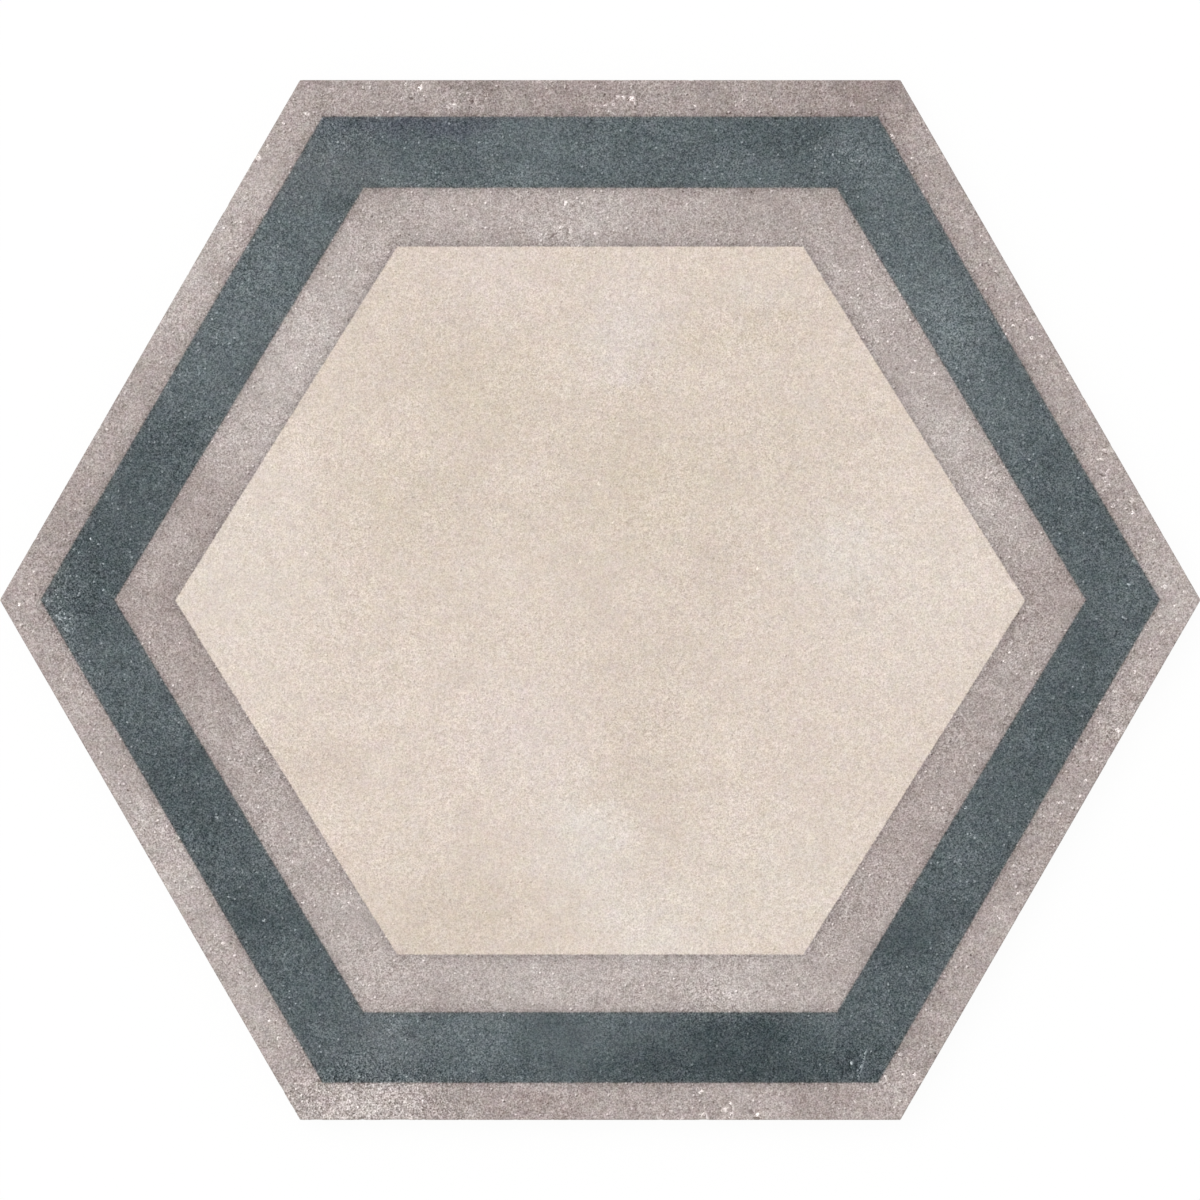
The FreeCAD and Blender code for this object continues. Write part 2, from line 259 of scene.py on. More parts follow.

# The chip grains, flakes and scratches that the photograph shows one by one; the dark marks beside pale
# chips and grains are partly painted shade of their relief and partly dark scratches
MARKS = (
    # upper left edge, with its oval pebble
    Spot(258, 157, 4, 3.4, 62), Spot(268, 145.5, 1.6, 1.6, 55), Spot(247, 170, 2.4, 1.6, 40),
    Spot(307.5, 113.5, 3.6, 1.6, 45), Spot(333, 88.5, 2, 1.5, 35),
    Spot(322.5, 95.5, 3, 0.9, -36, turn=-30), Spot(352.5, 108, 2.6, 0.9, -30, turn=40),
    Spot(377, 100.5, 3.4, 1, 28, turn=15), Spot(406.5, 83.5, 1.4, 1.9, 42),
    Spot(421, 87, 1.7, 3, 82, turn=-25), Spot(426, 95.5, 3, 1, 32, turn=-15),
    Spot(402.5, 98, 2.2, 3, 42), Spot(399.5, 100.5, 1.8, 1, 40),
    Spot(411.5, 98, 3.2, 1, -55, turn=-25), Spot(454, 106.5, 7, 3, 22),
    Spot(453.5, 103.4, 4, 0.9, 42), Spot(446.5, 105.8, 2.4, 0.9, 24, turn=35),
    Spot(472.5, 101.5, 1.4, 2, -58), Spot(476, 101, 2.2, 2.2, 28),
    Spot(470, 107, 1, 1.6, -38, turn=-20), Spot(492, 89.5, 2, 1, -48),
    Spot(487, 95.5, 0.9, 4, 44, turn=-25), Spot(484, 94, 0.9, 2.6, -30, turn=-10),
    Spot(438, 109, 2.2, 1.4, 30), Spot(397, 112.5, 2, 1.2, 35), Spot(379, 114, 1.8, 1, 32),
    # middle of the upper edge
    Spot(606, 104, 1.7, 2, 70, turn=-40), Spot(613.8, 103.8, 1.5, 1.5, 62),
    Spot(618, 96.5, 2.8, 1.9, 44, turn=-15), Spot(624, 97, 1.8, 1.8, 60),
    Spot(632, 98.6, 3.4, 3.2, 78, turn=35), Spot(634.5, 102.5, 2.2, 0.8, 40, turn=15),
    Spot(627.3, 98.6, 0.8, 1.8, -45), Spot(637.5, 103.5, 1.6, 1.8, -42, turn=30),
    Spot(627, 93, 3, 0.8, -34, turn=15), Spot(673.5, 112, 1.5, 1.3, 62),
    Spot(695.5, 106, 1.5, 1.3, 62), Spot(691.5, 108.8, 4, 0.8, -40),
    Spot(648.5, 106.3, 0.9, 2.6, -36, turn=30), Spot(709, 100.5, 2.6, 1, 30),
    Spot(717.5, 110.5, 1.8, 2, 36), Spot(853, 103.5, 3.4, 1.1, 36, turn=-35),
    Spot(892, 135.5, 3.2, 1.4, 66, turn=-60), Spot(913, 157.5, 1.6, 1.6, 45),
    Spot(926, 175.5, 1.6, 1.6, 45),
    # upper side of the inner taupe band
    Spot(562, 227, 2.4, 1.4, 50, turn=20), Spot(554, 234, 8, 1, -46, turn=38),
    Spot(567, 233, 1, 5, -42), Spot(571, 230, 3, 4, 26), Spot(566, 203, 2.6, 1.5, 60, turn=30),
    Spot(595, 233, 2.2, 1.6, 45, turn=60),
    # crescents and grains of the lower edge
    Spot(701, 1092.5, 3.4, 1.4, 65, turn=10), Spot(671, 1111.5, 2.4, 1.2, 60),
    Spot(701, 1117, 1.3, 5, 58, turn=-24), Spot(707, 1117.5, 1.3, 4.6, 54, turn=24),
    Spot(704, 1113.5, 3.2, 1.2, 48), Spot(680, 1119, 5, 1.3, 42),
    Spot(725, 1110, 5.5, 2, 42, turn=22), Spot(733, 1110, 1.6, 4.5, 40),
    Spot(731.5, 1116.5, 2, 4, 46), Spot(730.5, 1104, 1.6, 1.4, 75), Spot(722, 1120, 4, 1.2, 30),
    Spot(757, 1115, 1.5, 1.5, 80), Spot(751, 1112.5, 4, 2, -40, turn=-30),
    Spot(757, 1118.5, 5, 1.5, -50),
    # scratch at the lower right corner of the slate, and the grains round it
    Spot(862.5, 1064.5, 20, 1.15, 48, turn=74), Spot(851.5, 1064, 1.7, 2.2, 88, turn=-20),
    Spot(860, 1055.5, 1.2, 1.2, 50), Spot(871.5, 1052, 1.1, 1.1, 55),
    Spot(849, 1069.5, 2.4, 1.4, -22), Spot(907, 1059, 1.6, 1.4, 62),
    Spot(900.5, 1055.5, 2, 2.6, 40), Spot(915, 1075, 1.5, 1.5, 60),
    Spot(902.5, 1075, 2.2, 1.8, 50), Spot(885, 1077, 1.8, 1.5, 55),
    Spot(825.5, 1089, 1.7, 1.5, 60), Spot(855, 1103, 1.6, 1.6, 45), Spot(957, 860, 5, 3, 20),
    # left corner
    Spot(20.5, 605, 1.2, 2.2, 66), Spot(17.5, 598, 1.2, 1.2, 36), Spot(29.5, 583, 1.2, 1, 66),
    Spot(34.5, 571, 1.6, 1.1, 34), Spot(37, 574, 3.4, 0.8, -30, turn=40),
    Spot(29.5, 558, 1.4, 1.2, 38), Spot(33, 631.5, 2.2, 0.9, 38, turn=20),
    Spot(91, 539, 1.5, 1.3, 94), Spot(74.5, 549, 1.4, 1.4, 82), Spot(79.5, 552.5, 1.6, 1.4, 50),
    Spot(99.5, 543.3, 2, 1, 54), Spot(104, 564.5, 1.5, 1.3, 60), Spot(58.5, 577, 1.5, 1.3, 53),
    Spot(104.3, 590, 1.5, 1.2, 70), Spot(58.8, 590, 2, 3.2, 38, turn=-15),
    Spot(58.5, 596, 1.3, 1, 72), Spot(67, 597.5, 2.2, 0.9, 50), Spot(75, 597.3, 2, 1.2, 48),
    Spot(80, 593, 1, 3.2, 43, turn=-15), Spot(49, 601, 4, 1.4, 24, turn=25),
    Spot(59, 608.5, 3.2, 1, 48, turn=20), Spot(64.7, 614.5, 1.2, 1.4, 89),
    Spot(60, 617.5, 1, 6, 48, turn=42), Spot(66.5, 618, 0.9, 1.8, 43), Spot(71, 618, 1.2, 1.2, 62),
    Spot(71, 622.5, 1.2, 1.2, 50), Spot(67, 630, 5, 1.4, 34, turn=-20),
    Spot(74, 630, 1.1, 4, 41, turn=-15), Spot(85.5, 624, 1.2, 1.1, 54),
    # right-hand side, with its chipped arris
    Spot(1094, 443.5, 1.1, 2, 58), Spot(1110.5, 449.8, 3, 1.6, 70, turn=-35),
    Spot(1104.5, 449, 3.4, 0.9, 30, turn=30), Spot(1105, 453.5, 3, 0.9, -46, turn=-20),
    Spot(1115.5, 459, 3, 0.8, -34, turn=10), Spot(1100.5, 458.6, 2.6, 1.2, 38),
    Spot(1119.5, 469, 1.3, 1.2, 40), Spot(1102, 475.3, 4.4, 0.8, -52, turn=-15),
    Spot(1105, 477.2, 3, 0.9, 38), Spot(1108.3, 471, 0.9, 3.6, 46, turn=-30),
    Spot(1109, 484.5, 1.4, 1.4, 62), Spot(1106.5, 481, 1.2, 1, 34), Spot(1117.5, 500, 1.6, 2, 48),
    Spot(1131.5, 499.8, 2.8, 2, 36, turn=20), Spot(1129, 502, 2.2, 0.8, -52, turn=-35),
    Spot(1126, 491, 2.2, 2, 22), Spot(1113.3, 505.5, 2, 1.8, 44), Spot(1133, 512.5, 1.1, 1.6, 66),
    Spot(1153.5, 540, 1.8, 2, 42), Spot(1164.5, 586.5, 2.8, 1.4, 50),
    Spot(1184, 592, 2.2, 1.2, 42), Spot(1133, 560.5, 2, 1.1, 34), Spot(1129, 584, 1.4, 1.2, 50),
    Spot(1123.5, 617, 2.4, 1, 44, turn=-35), Spot(1175, 605, 1.6, 1.4, 55),
    Spot(1160, 615.5, 1.6, 1.4, 40), Spot(1146.5, 630, 1.6, 1.4, 44),
    Spot(1163, 631, 1.6, 1.4, 40), Spot(1176, 619, 1.5, 1.5, 34),
    # upper right side, its pale grains
    Spot(981.5, 236.5, 1.5, 1.2, 45), Spot(984.5, 242, 2, 1.2, 46, turn=-20),
    Spot(990, 258.5, 2.2, 1, 36), Spot(996, 271.5, 1.6, 1.4, 48), Spot(1001, 295.5, 1.6, 1.4, 42),
    Spot(1015, 303, 2.4, 1.4, 48), Spot(1026.5, 320, 1.5, 1.3, 52), Spot(1013.5, 325, 2, 1.3, 50),
    Spot(1006, 333, 1.4, 1.2, 48), Spot(1031.5, 337.5, 1.9, 1.6, 66),
    Spot(1040.5, 335.5, 1.4, 1.4, 52), Spot(1023.5, 345, 2.2, 1.2, 40),
    Spot(1041.5, 356, 1.7, 1.3, 54), Spot(1067.5, 379, 1.3, 1.2, 46),
    Spot(985, 312.5, 1.3, 1.2, 55), Spot(983, 379.5, 1.2, 1.2, 50),
    Spot(950.5, 387.5, 1.3, 1.1, 46),
    # lower left side, its outer taupe band
    Spot(92.5, 700, 1.6, 1.2, 40), Spot(121, 739.5, 1.1, 1.6, 60), Spot(147, 845, 2, 1.3, 42),
    Spot(175, 850.5, 2, 1.4, 38), Spot(179.5, 866, 1.5, 1.4, 42), Spot(216.5, 936, 2, 1.8, 36),
    Spot(224, 943.5, 2, 1.4, 52), Spot(234.5, 955.5, 1.4, 1.1, 46), Spot(236.5, 981, 1.4, 1.2, 58),
    Spot(257, 985.5, 1.4, 1, 54), Spot(277, 1020, 1.3, 1.2, 56), Spot(270, 1021.5, 1.9, 1.1, 50),
    Spot(279.5, 1038, 2, 1.2, 40),
    # its slate band
    Spot(175, 717.5, 2, 1, 44), Spot(128.5, 722.5, 1.1, 1, 48), Spot(149.5, 752.5, 1, 1.2, 50),
    Spot(176.5, 760.5, 1.1, 1.2, 46), Spot(218, 817.5, 1.2, 1.2, 54),
    Spot(242.5, 871, 1, 2.2, 48, turn=15), Spot(257.5, 873, 1.6, 1.2, 64),
    Spot(229.5, 896.5, 1.2, 1, 52), Spot(251, 896.5, 1.2, 1.1, 46), Spot(264.5, 921, 1.7, 1.2, 66),
    Spot(296.5, 1004.5, 1.1, 1, 52),
    # its inner taupe band
    Spot(259.5, 807, 2.4, 1.2, 38, turn=-25), Spot(263.5, 819.5, 1.3, 1.3, 44),
    Spot(294.5, 835, 1.4, 1.1, 48), Spot(309, 842, 1.1, 1.2, 42),
    Spot(306, 823, 3.2, 1.4, 34, turn=-40), Spot(287.5, 858.5, 1.6, 0.9, 44),
    Spot(293.5, 861.5, 2.2, 1.4, 36), Spot(328.5, 860, 2, 1, 50, turn=15),
    Spot(294.5, 885, 1.3, 1.6, 56), Spot(303.5, 903, 1.5, 1.4, 62), Spot(349, 903, 1.5, 1.2, 52),
    Spot(342.5, 906.5, 1.3, 1.1, 50), Spot(358.5, 907.5, 1.6, 1, 44), Spot(339, 883.5, 1, 1, 40),
    # lower right side, its outer taupe band
    Spot(1135.6, 672, 2.8, 1.4, 52, turn=60), Spot(1115, 691, 2, 1.6, 40, turn=-40),
    Spot(1105, 703.5, 1.1, 1.4, 44), Spot(1100.5, 703, 1, 1, 38),
    Spot(1122, 715, 1.2, 4, 26, turn=-10), Spot(1098.7, 721.5, 1, 2.4, 42),
    Spot(1117.8, 730, 2.4, 2.2, 62), Spot(1111.5, 731.5, 1.6, 1.2, -40),
    Spot(1107, 737, 1.8, 1.8, -44), Spot(1106, 744.5, 1.4, 1, -36),
    Spot(1086.2, 741.7, 1.4, 2.2, 46), Spot(1075, 746.7, 1.2, 1.2, 52),
    Spot(1091.3, 760, 2, 1.5, 46), Spot(1096.3, 759.5, 1.4, 2, 34, turn=-30),
    Spot(1087, 776, 1.2, 1.6, -38), Spot(1086.5, 780.7, 2.2, 1.8, 46),
    Spot(1080.2, 795.7, 1.5, 1.4, 54), Spot(1082.3, 800, 1.2, 1, 36),
    Spot(1058.8, 801.7, 1.6, 1.5, 50), Spot(1063.5, 802.5, 1.6, 2, 34),
    Spot(1047.8, 806.5, 1.2, 2, 28), Spot(1043.7, 816.7, 1.3, 1.2, 42),
    Spot(1051.7, 827.7, 1.7, 1.2, 54), Spot(1027, 842.4, 1.1, 1.2, 56),
    Spot(1013.9, 866, 1.6, 1.6, 42), Spot(1013.6, 874.4, 1.3, 1.3, 54),
    Spot(1021, 883.5, 2.4, 2, -22), Spot(1033.8, 882.7, 1, 1.2, 40),
    Spot(996.7, 890.6, 1.1, 1.1, 50), Spot(1018.4, 893.1, 2.2, 1.8, 74),
    Spot(995, 907.6, 1.8, 1, 36), Spot(1010.8, 907.5, 1.8, 1.8, 24),
    Spot(1015, 910.5, 1, 1.8, -34), Spot(997.8, 916.2, 1.2, 1.2, 56),
    Spot(999.5, 918.8, 1.4, 1, 40),
    # its slate band
    Spot(1071, 645.5, 1.6, 0.9, 38), Spot(1072.8, 686.7, 1.1, 1.2, 62),
    Spot(1034.5, 688, 1.4, 0.8, 44), Spot(965.8, 807.8, 1.1, 1.2, 70),
    Spot(1031.3, 797.6, 0.9, 0.9, 46), Spot(1026.1, 804.8, 1.4, 1, 36),
    Spot(970.2, 834.7, 1.8, 1.1, 46, turn=40), Spot(1009, 835.6, 1.8, 1.2, 30),
    # its inner taupe band
    Spot(1051, 642, 2, 1.6, 34), Spot(1009.5, 652.5, 1.5, 1.5, 52),
    Spot(1017.8, 654.5, 1.3, 1, 34), Spot(1026, 654.2, 1, 1, 38), Spot(1004.4, 660, 1.4, 1.2, 36),
    Spot(1031.7, 671.7, 2.2, 1.6, 38, turn=-45),
    # upper right side of the inner taupe band
    Spot(832.8, 232, 1.6, 1.2, 40), Spot(862.4, 245.9, 1.4, 1.3, 52),
    Spot(848.9, 246.9, 1.2, 1, 36), Spot(877.6, 259, 1.2, 1.2, 52),
    Spot(834.4, 265, 2, 1.6, 36, turn=-35), Spot(858.9, 271.7, 1.2, 1.2, 46),
    Spot(903.6, 275.2, 1.1, 0.9, 66), Spot(875, 294.4, 1.3, 1.2, 40),
    Spot(881.3, 298.9, 1.5, 1.2, 50), Spot(851.7, 298, 1.2, 1, 44),
    Spot(878.3, 320.2, 1.3, 1.2, 52), Spot(864.7, 326.4, 1.8, 1.8, 34),
    Spot(910, 319.4, 1.3, 1.1, 60), Spot(912.8, 320.9, 2.4, 1, -46, turn=25),
    Spot(891.7, 334.4, 1.4, 1.1, 54), Spot(887.2, 341.1, 1.5, 1, 54),
    Spot(877, 340, 4, 0.8, 32, turn=-20), Spot(889, 345.6, 1.6, 0.9, -34, turn=-35),
    Spot(916.1, 360.3, 1.3, 1.1, 46), Spot(932.8, 359.4, 2, 1.6, 32),
    Spot(913.3, 371.9, 2.6, 1, 62), Spot(934.4, 373.1, 1.3, 1.2, 66),
    # faint specks in the cream
    Spot(837.2, 382, 1.6, 1.4, 20), Spot(307, 553, 1.8, 1.8, 24), Spot(599, 484, 1.8, 1.8, 24),
    Spot(613, 523, 1.6, 1.6, 24), Spot(580, 562, 1.8, 1.8, 22), Spot(758, 568, 1.8, 1.8, 22),
)

# Where the photograph shows coarser or finer grain than elsewhere
GRAIN_PATCHES = (
    # outer taupe band
    Spot(350, 1105, 150, 60, 0.92), Spot(440, 1103, 60, 40, 0.3), Spot(540, 1103, 80, 40, 0.2),
    Spot(415, 94, 60, 40, 0.1), Spot(622, 94, 40, 40, 0.15), Spot(817, 91, 30, 30, 0.15),
    Spot(1110, 720, 90, 40, 0.4, turn=60), Spot(1018, 880, 45, 40, 0.25, turn=60),
    Spot(895, 1075, 50, 50, 0.25), Spot(1124, 505, 45, 35, 0.15, turn=-60),
    Spot(160, 832, 55, 40, 0.35, turn=-60), Spot(1040, 850, 30, 30, -0.15),
    # slate band
    Spot(70, 605, 60, 60, 0.35), Spot(74, 650, 62, 26, 0.35, turn=-60),
    Spot(248, 281, 45, 35, 0.25), Spot(341, 140, 70, 40, 0.2), Spot(870, 154, 80, 50, 0.25),
    Spot(971, 341, 95, 50, 0.3, turn=-60), Spot(1078, 509, 55, 45, 0.15, turn=-60),
    Spot(576, 1044, 110, 60, -0.42), Spot(750, 1051, 110, 60, -0.25),
    Spot(917, 930, 60, 50, -0.3, turn=60), Spot(1071, 669, 60, 50, -0.12, turn=60),
    Spot(348, 1058, 60, 40, 0.12),
    # inner taupe band
    Spot(555, 214, 45, 40, 0.15), Spot(770, 207, 110, 45, -0.2),
    Spot(897, 381, 60, 45, -0.18, turn=-60), Spot(991, 469, 45, 30, 0.3, turn=-60),
    Spot(703, 997, 40, 30, 0.35), Spot(200, 515, 60, 45, -0.18, turn=60),
    # cream
    Spot(640, 375, 70, 28, 0.22, turn=25), Spot(750, 320, 100, 42, 0.32, turn=10),
    Spot(350, 602, 45, 160, 0.2), Spot(305, 750, 60, 60, 0.15), Spot(315, 455, 60, 60, 0.13),
    Spot(248, 616, 80, 90, -0.14), Spot(535, 897, 130, 140, -0.24), Spot(388, 924, 50, 50, -0.25),
    Spot(656, 750, 60, 90, 0.15), Spot(740, 830, 70, 70, 0.1), Spot(589, 576, 120, 110, -0.14),
    Spot(951, 535, 90, 90, 0.1),
)


def coarseness(points: Array) -> Array:
    """How coarse the grain is at each point, 1 being plain."""
    return 1.0 + sum(patch.change * patch.cover(points) for patch in GRAIN_PATCHES)


def flat_places(items: bpy.types.bpy_prop_collection, key: str) -> Array:
    """Read where a mesh's points or faces lie, seen from above.

    Args:
        items: The mesh's points or faces.
        key: Name of their property that holds the place.

    Returns:
        Their places in millimetres, one row each.
    """
    places = np.empty(3 * len(items))
    items.foreach_get(key, places)
    return places.reshape(-1, 3)[:, :2] / MILLIMETRE


def write_layer(mesh: bpy.types.Mesh, name: str, values: Array) -> None:
    """Keep a number or a vector at each point of a mesh, for its materials to read.

    Args:
        mesh: The mesh.
        name: The name by which materials ask for it.
        values: The numbers, or one row of three for each point.
    """
    kind, key = ("FLOAT", "value") if values.ndim == 1 else ("FLOAT_VECTOR", "vector")
    layer = mesh.attributes.new(name, kind, "POINT")
    layer.data.foreach_set(key, values.astype(np.float32).ravel())


class Graph:
    """Adds nodes to one node tree and links them."""

    def __init__(self, tree: bpy.types.NodeTree) -> None:
        """Take hold of a node tree."""
        self.tree = tree

    def feed(self, node: bpy.types.Node, values: Iterable) -> None:
        """Link inputs of a node to sockets, or set them to plain values.

        Args:
            node: The node.
            values: Each input's name or number and its value, in a dict or as pairs.
        """
        for key, value in dict(values).items():
            if isinstance(value, bpy.types.NodeSocket):
                self.tree.links.new(value, node.inputs[key])
            else:
                node.inputs[key].default_value = value

    def add(self, kind: str, values: Iterable = (), **settings: object) -> bpy.types.Node:
        """Add a node.

        Args:
            kind: The node's type, without its ShaderNode prefix.
            values: Each input's name or number and its value, in a dict or as pairs.
            settings: Properties to set on it.

        Returns:
            The new node.
        """
        node = self.tree.nodes.new(f"ShaderNode{kind}")
        for name, setting in settings.items():
            setattr(node, name, setting)
        self.feed(node, values)
        return node

    def math(self, operation: str, *values: Value, clamp: bool = False) -> Socket:
        """Combine numbers; clamp keeps the result from 0 to 1."""
        node = self.add("Math", enumerate(values), operation=operation, use_clamp=clamp)
        return node.outputs[0]

    def vector(self, operation: str, *values: Value) -> Socket:
        """Combine vectors.

        Args:
            operation: Name of the Vector Math node's operation.
            values: Vectors, or numbers that stand for three alike; for SCALE the second is
                the factor.

        Returns:
            The result's socket, a number for DOT_PRODUCT.
        """
        keys = (0, "Scale") if operation == "SCALE" else range(len(values))
        node = self.add("VectorMath", zip(keys, values), operation=operation)
        return node.outputs["Value" if operation == "DOT_PRODUCT" else "Vector"]

    def total(self, vectors: Sequence[Value]) -> Value:
        """Add up a row of vectors."""
        return functools.reduce(functools.partial(self.vector, "ADD"), vectors)

    def combine(self, *numbers: Value) -> Socket:
        """Make one vector of three numbers."""
        return self.add("CombineXYZ", enumerate(numbers)).outputs[0]

    def split(self, vector: Value) -> list[Socket]:
        """Split a vector into its three numbers."""
        return self.add("SeparateXYZ", {0: vector}).outputs[:]

    def blend(self, factor: Value, low: Value, high: Value) -> Socket:
        """Mix two vectors: the first where the factor is 0, the second where it is 1."""
        return self.add("Mix", {0: factor, 4: low, 5: high}, data_type="VECTOR").outputs[1]

    def ease(self, value: Value, start: float, end: float) -> Socket:
        """Rise smoothly from 0 to 1 as a value goes from start to end."""
        limits = {"Value": value, "From Min": start, "From Max": end}
        return self.add("MapRange", limits, interpolation_type="SMOOTHSTEP").outputs[0]

    def noise(self, place: Value, size: float, octaves: float = 0.0) -> tuple[Socket, Socket]:
        """Cloudy numbers.

        Args:
            place: Where on the surface, in millimetres.
            size: Size of the largest features, in millimetres.
            octaves: How many finer layers are added.

        Returns:
            One number and a vector of three, each about zero with a spread of about one.
        """
        values = {"Vector": place, "Scale": 1.0 / size, "Detail": octaves}
        number, vector = self.add("TexNoise", values).outputs[:2]
        middle = -0.5 * NOISE_GAIN
        return (
            self.math("MULTIPLY_ADD", number, NOISE_GAIN, middle),
            self.vector("MULTIPLY_ADD", vector, grey(NOISE_GAIN), grey(middle)),
        )

    def group(self, tree: bpy.types.NodeTree, **values: Value) -> bpy.types.bpy_prop_collection:
        """Place a node group.

        Args:
            tree: The group.
            values: A value for each input; underscores stand for spaces.

        Returns:
            The outputs of the group's node.
        """
        named = {name.replace("_", " ").capitalize(): value for name, value in values.items()}
        return self.add("Group", named, node_tree=tree).outputs


class GroupMaker(Graph):
    """A shader node group in the making."""

    def __init__(self, name: str, inputs: dict[str, str], outputs: dict[str, str]) -> None:
        """Start the group.

        Args:
            name: The group's name.
            inputs: Name and kind of each input, Float or Vector.
            outputs: Name and kind of each output.
        """
        super().__init__(bpy.data.node_groups.new(name, "ShaderNodeTree"))
        for in_out, sockets in (("INPUT", inputs), ("OUTPUT", outputs)):
            for title, kind in sockets.items():
                self.tree.interface.new_socket(
                    name=title, in_out=in_out, socket_type=f"NodeSocket{kind}")
        self.given = self.tree.nodes.new("NodeGroupInput").outputs[:len(inputs)]

    def close(self, *results: Value) -> bpy.types.NodeTree:
        """Feed the group's outputs in their order, and give the group."""
        self.feed(self.tree.nodes.new("NodeGroupOutput"), enumerate(results))
        return self.tree


@dataclass
class Workshop:
    """The node groups that more than one finish uses, each made once. Lengths are millimetres.

    grain_sizes are those of the fine, middle and coarse grain. A mark is an oval with cut
    corners, cut as corner_cut says, whose edge fades between mark_fade, as shares of its
    reach. A fleck's radius, hardness and strength follow from the others.
    """

    grain_sizes: Triple = (0.3, 0.9, 3.4)
    corner_cut: Triple = (0.6, 0.8, 0.2)
    mark_fade: tuple[float, float] = (0.65, 1.1)
    fleck_radius: tuple[float, float] = (0.8, 0.4)
    fleck_hardness: float = 2.2
    fleck_strength: Triple = (3.0, 0.9, 0.2)
    distance: bpy.types.NodeTree = field(init=False)
    mark: bpy.types.NodeTree = field(init=False)
    flecks: bpy.types.NodeTree = field(init=False)
    grain: bpy.types.NodeTree = field(init=False)

    def __post_init__(self) -> None:
        """Make every group."""
        self.distance = self._distance()
        self.mark = self._mark()
        self.flecks = self._flecks()
        self.grain = self._grain()

    def _distance(self) -> bpy.types.NodeTree:
        """Group: how far inside a printed hexagon a place lies.

        Returns:
            The group. Its Distance is in millimetres, below zero outside the hexagon.
        """
        group = GroupMaker(
            "hexagon_distance",
            {"Position": "Vector", "Half height": "Float", "Half width": "Float", "Half top": "Float"},
            {"Distance": "Float"})
        position, half_height, half_width, half_top = group.given
        x, y, _ = group.split(position)
        across, along = group.math("ABSOLUTE", x), group.math("ABSOLUTE", y)
        to_level_side = group.math("SUBTRACT", half_height, along)
        slope = group.math("DIVIDE", group.math("SUBTRACT", half_width, half_top), half_height)
        left = group.math("SUBTRACT", half_width, across)
        left = group.math("SUBTRACT", left, group.math("MULTIPLY", along, slope))
        slope_length = group.math("SQRT", group.math("MULTIPLY_ADD", slope, slope, 1.0))
        to_slanted_side = group.math("DIVIDE", left, slope_length)
        return group.close(group.math("MINIMUM", to_level_side, to_slanted_side))

    def _mark(self) -> bpy.types.NodeTree:
        """Group: one small mark.

        Returns:
            The group. Its Mask is 1 inside the mark and 0 away from it.
        """
        group = GroupMaker(
            "mark", {"Position": "Vector", "Centre": "Vector", "Reach": "Vector", "Turn": "Float"},
            {"Mask": "Float"})
        position, centre, reach, turn = group.given
        offset = {"Vector": group.vector("SUBTRACT", position, centre), "Angle": turn}
        turned = group.add("VectorRotate", offset, rotation_type="Z_AXIS").outputs[0]
        scaled = group.vector("ABSOLUTE", group.vector("DIVIDE", turned, reach))
        across, along, _ = group.split(scaled)
        cut_across, cut_along, blunt = self.corner_cut
        slanted = group.math("MULTIPLY_ADD", along, cut_along, group.math("MULTIPLY", across, cut_across))
        away = group.math("MAXIMUM", slanted, group.math("MULTIPLY_ADD", along, blunt, across))
        return group.close(group.math("SUBTRACT", 1.0, group.ease(away, *self.mark_fade)))

    def _flecks(self) -> bpy.types.NodeTree:
        """Group: scattered round grains, each of its own size and strength.

        Returns:
            The group. Its Mask is 1 in the middle of a strong grain and 0 between grains.
        """
        group = GroupMaker(
            "flecks", {"Position": "Vector", "Spacing": "Float", "Share": "Float", "Radius": "Float"},
            {"Mask": "Float"})
        position, spacing, share, radius = group.given
        cells = group.add(
            "TexVoronoi", {"Vector": position, "Scale": group.math("DIVIDE", 1.0, spacing)},
            voronoi_dimensions="2D").outputs
        away = group.math("MULTIPLY", cells["Distance"], spacing)
        chance, size, _ = group.split(cells["Color"])
        present = group.math("LESS_THAN", chance, share)
        own_radius = group.math("MULTIPLY", radius, group.math("MULTIPLY_ADD", size, *self.fleck_radius))
        closeness = group.math("SUBTRACT", 1.0, group.math("DIVIDE", away, own_radius), clamp=True)
        rounded = group.math("MINIMUM", group.math("MULTIPLY", closeness, self.fleck_hardness), 1.0)
        power, *rise = self.fleck_strength
        uneven = group.math("MULTIPLY_ADD", group.math("POWER", size, power), *rise)
        return group.close(group.math("MULTIPLY", group.math("MULTIPLY", rounded, uneven), present))

    def _grain(self) -> bpy.types.NodeTree:
        """Group: the grain of the glaze and of the body, and its drift of hue.

        Returns:
            The group. Its Grain holds fine, middle and coarse grain about zero, and its
            Warm and Cool two drifts of colour.
        """
        group = GroupMaker(
            "grain", {"Position": "Vector"}, {"Grain": "Vector", "Warm": "Float", "Cool": "Float"})
        place, = group.given
        fine_size, middle_size, coarse_size = self.grain_sizes
        fine, _ = group.noise(place, fine_size)
        middle = group.split(group.noise(place, middle_size, octaves=1.0)[1])
        coarse = group.split(group.noise(place, coarse_size, octaves=1.0)[1])
        return group.close(
            group.combine(fine, middle[0], coarse[0]),
            group.math("ADD", middle[1], coarse[1]),
            group.math("ADD", middle[2], coarse[2]))


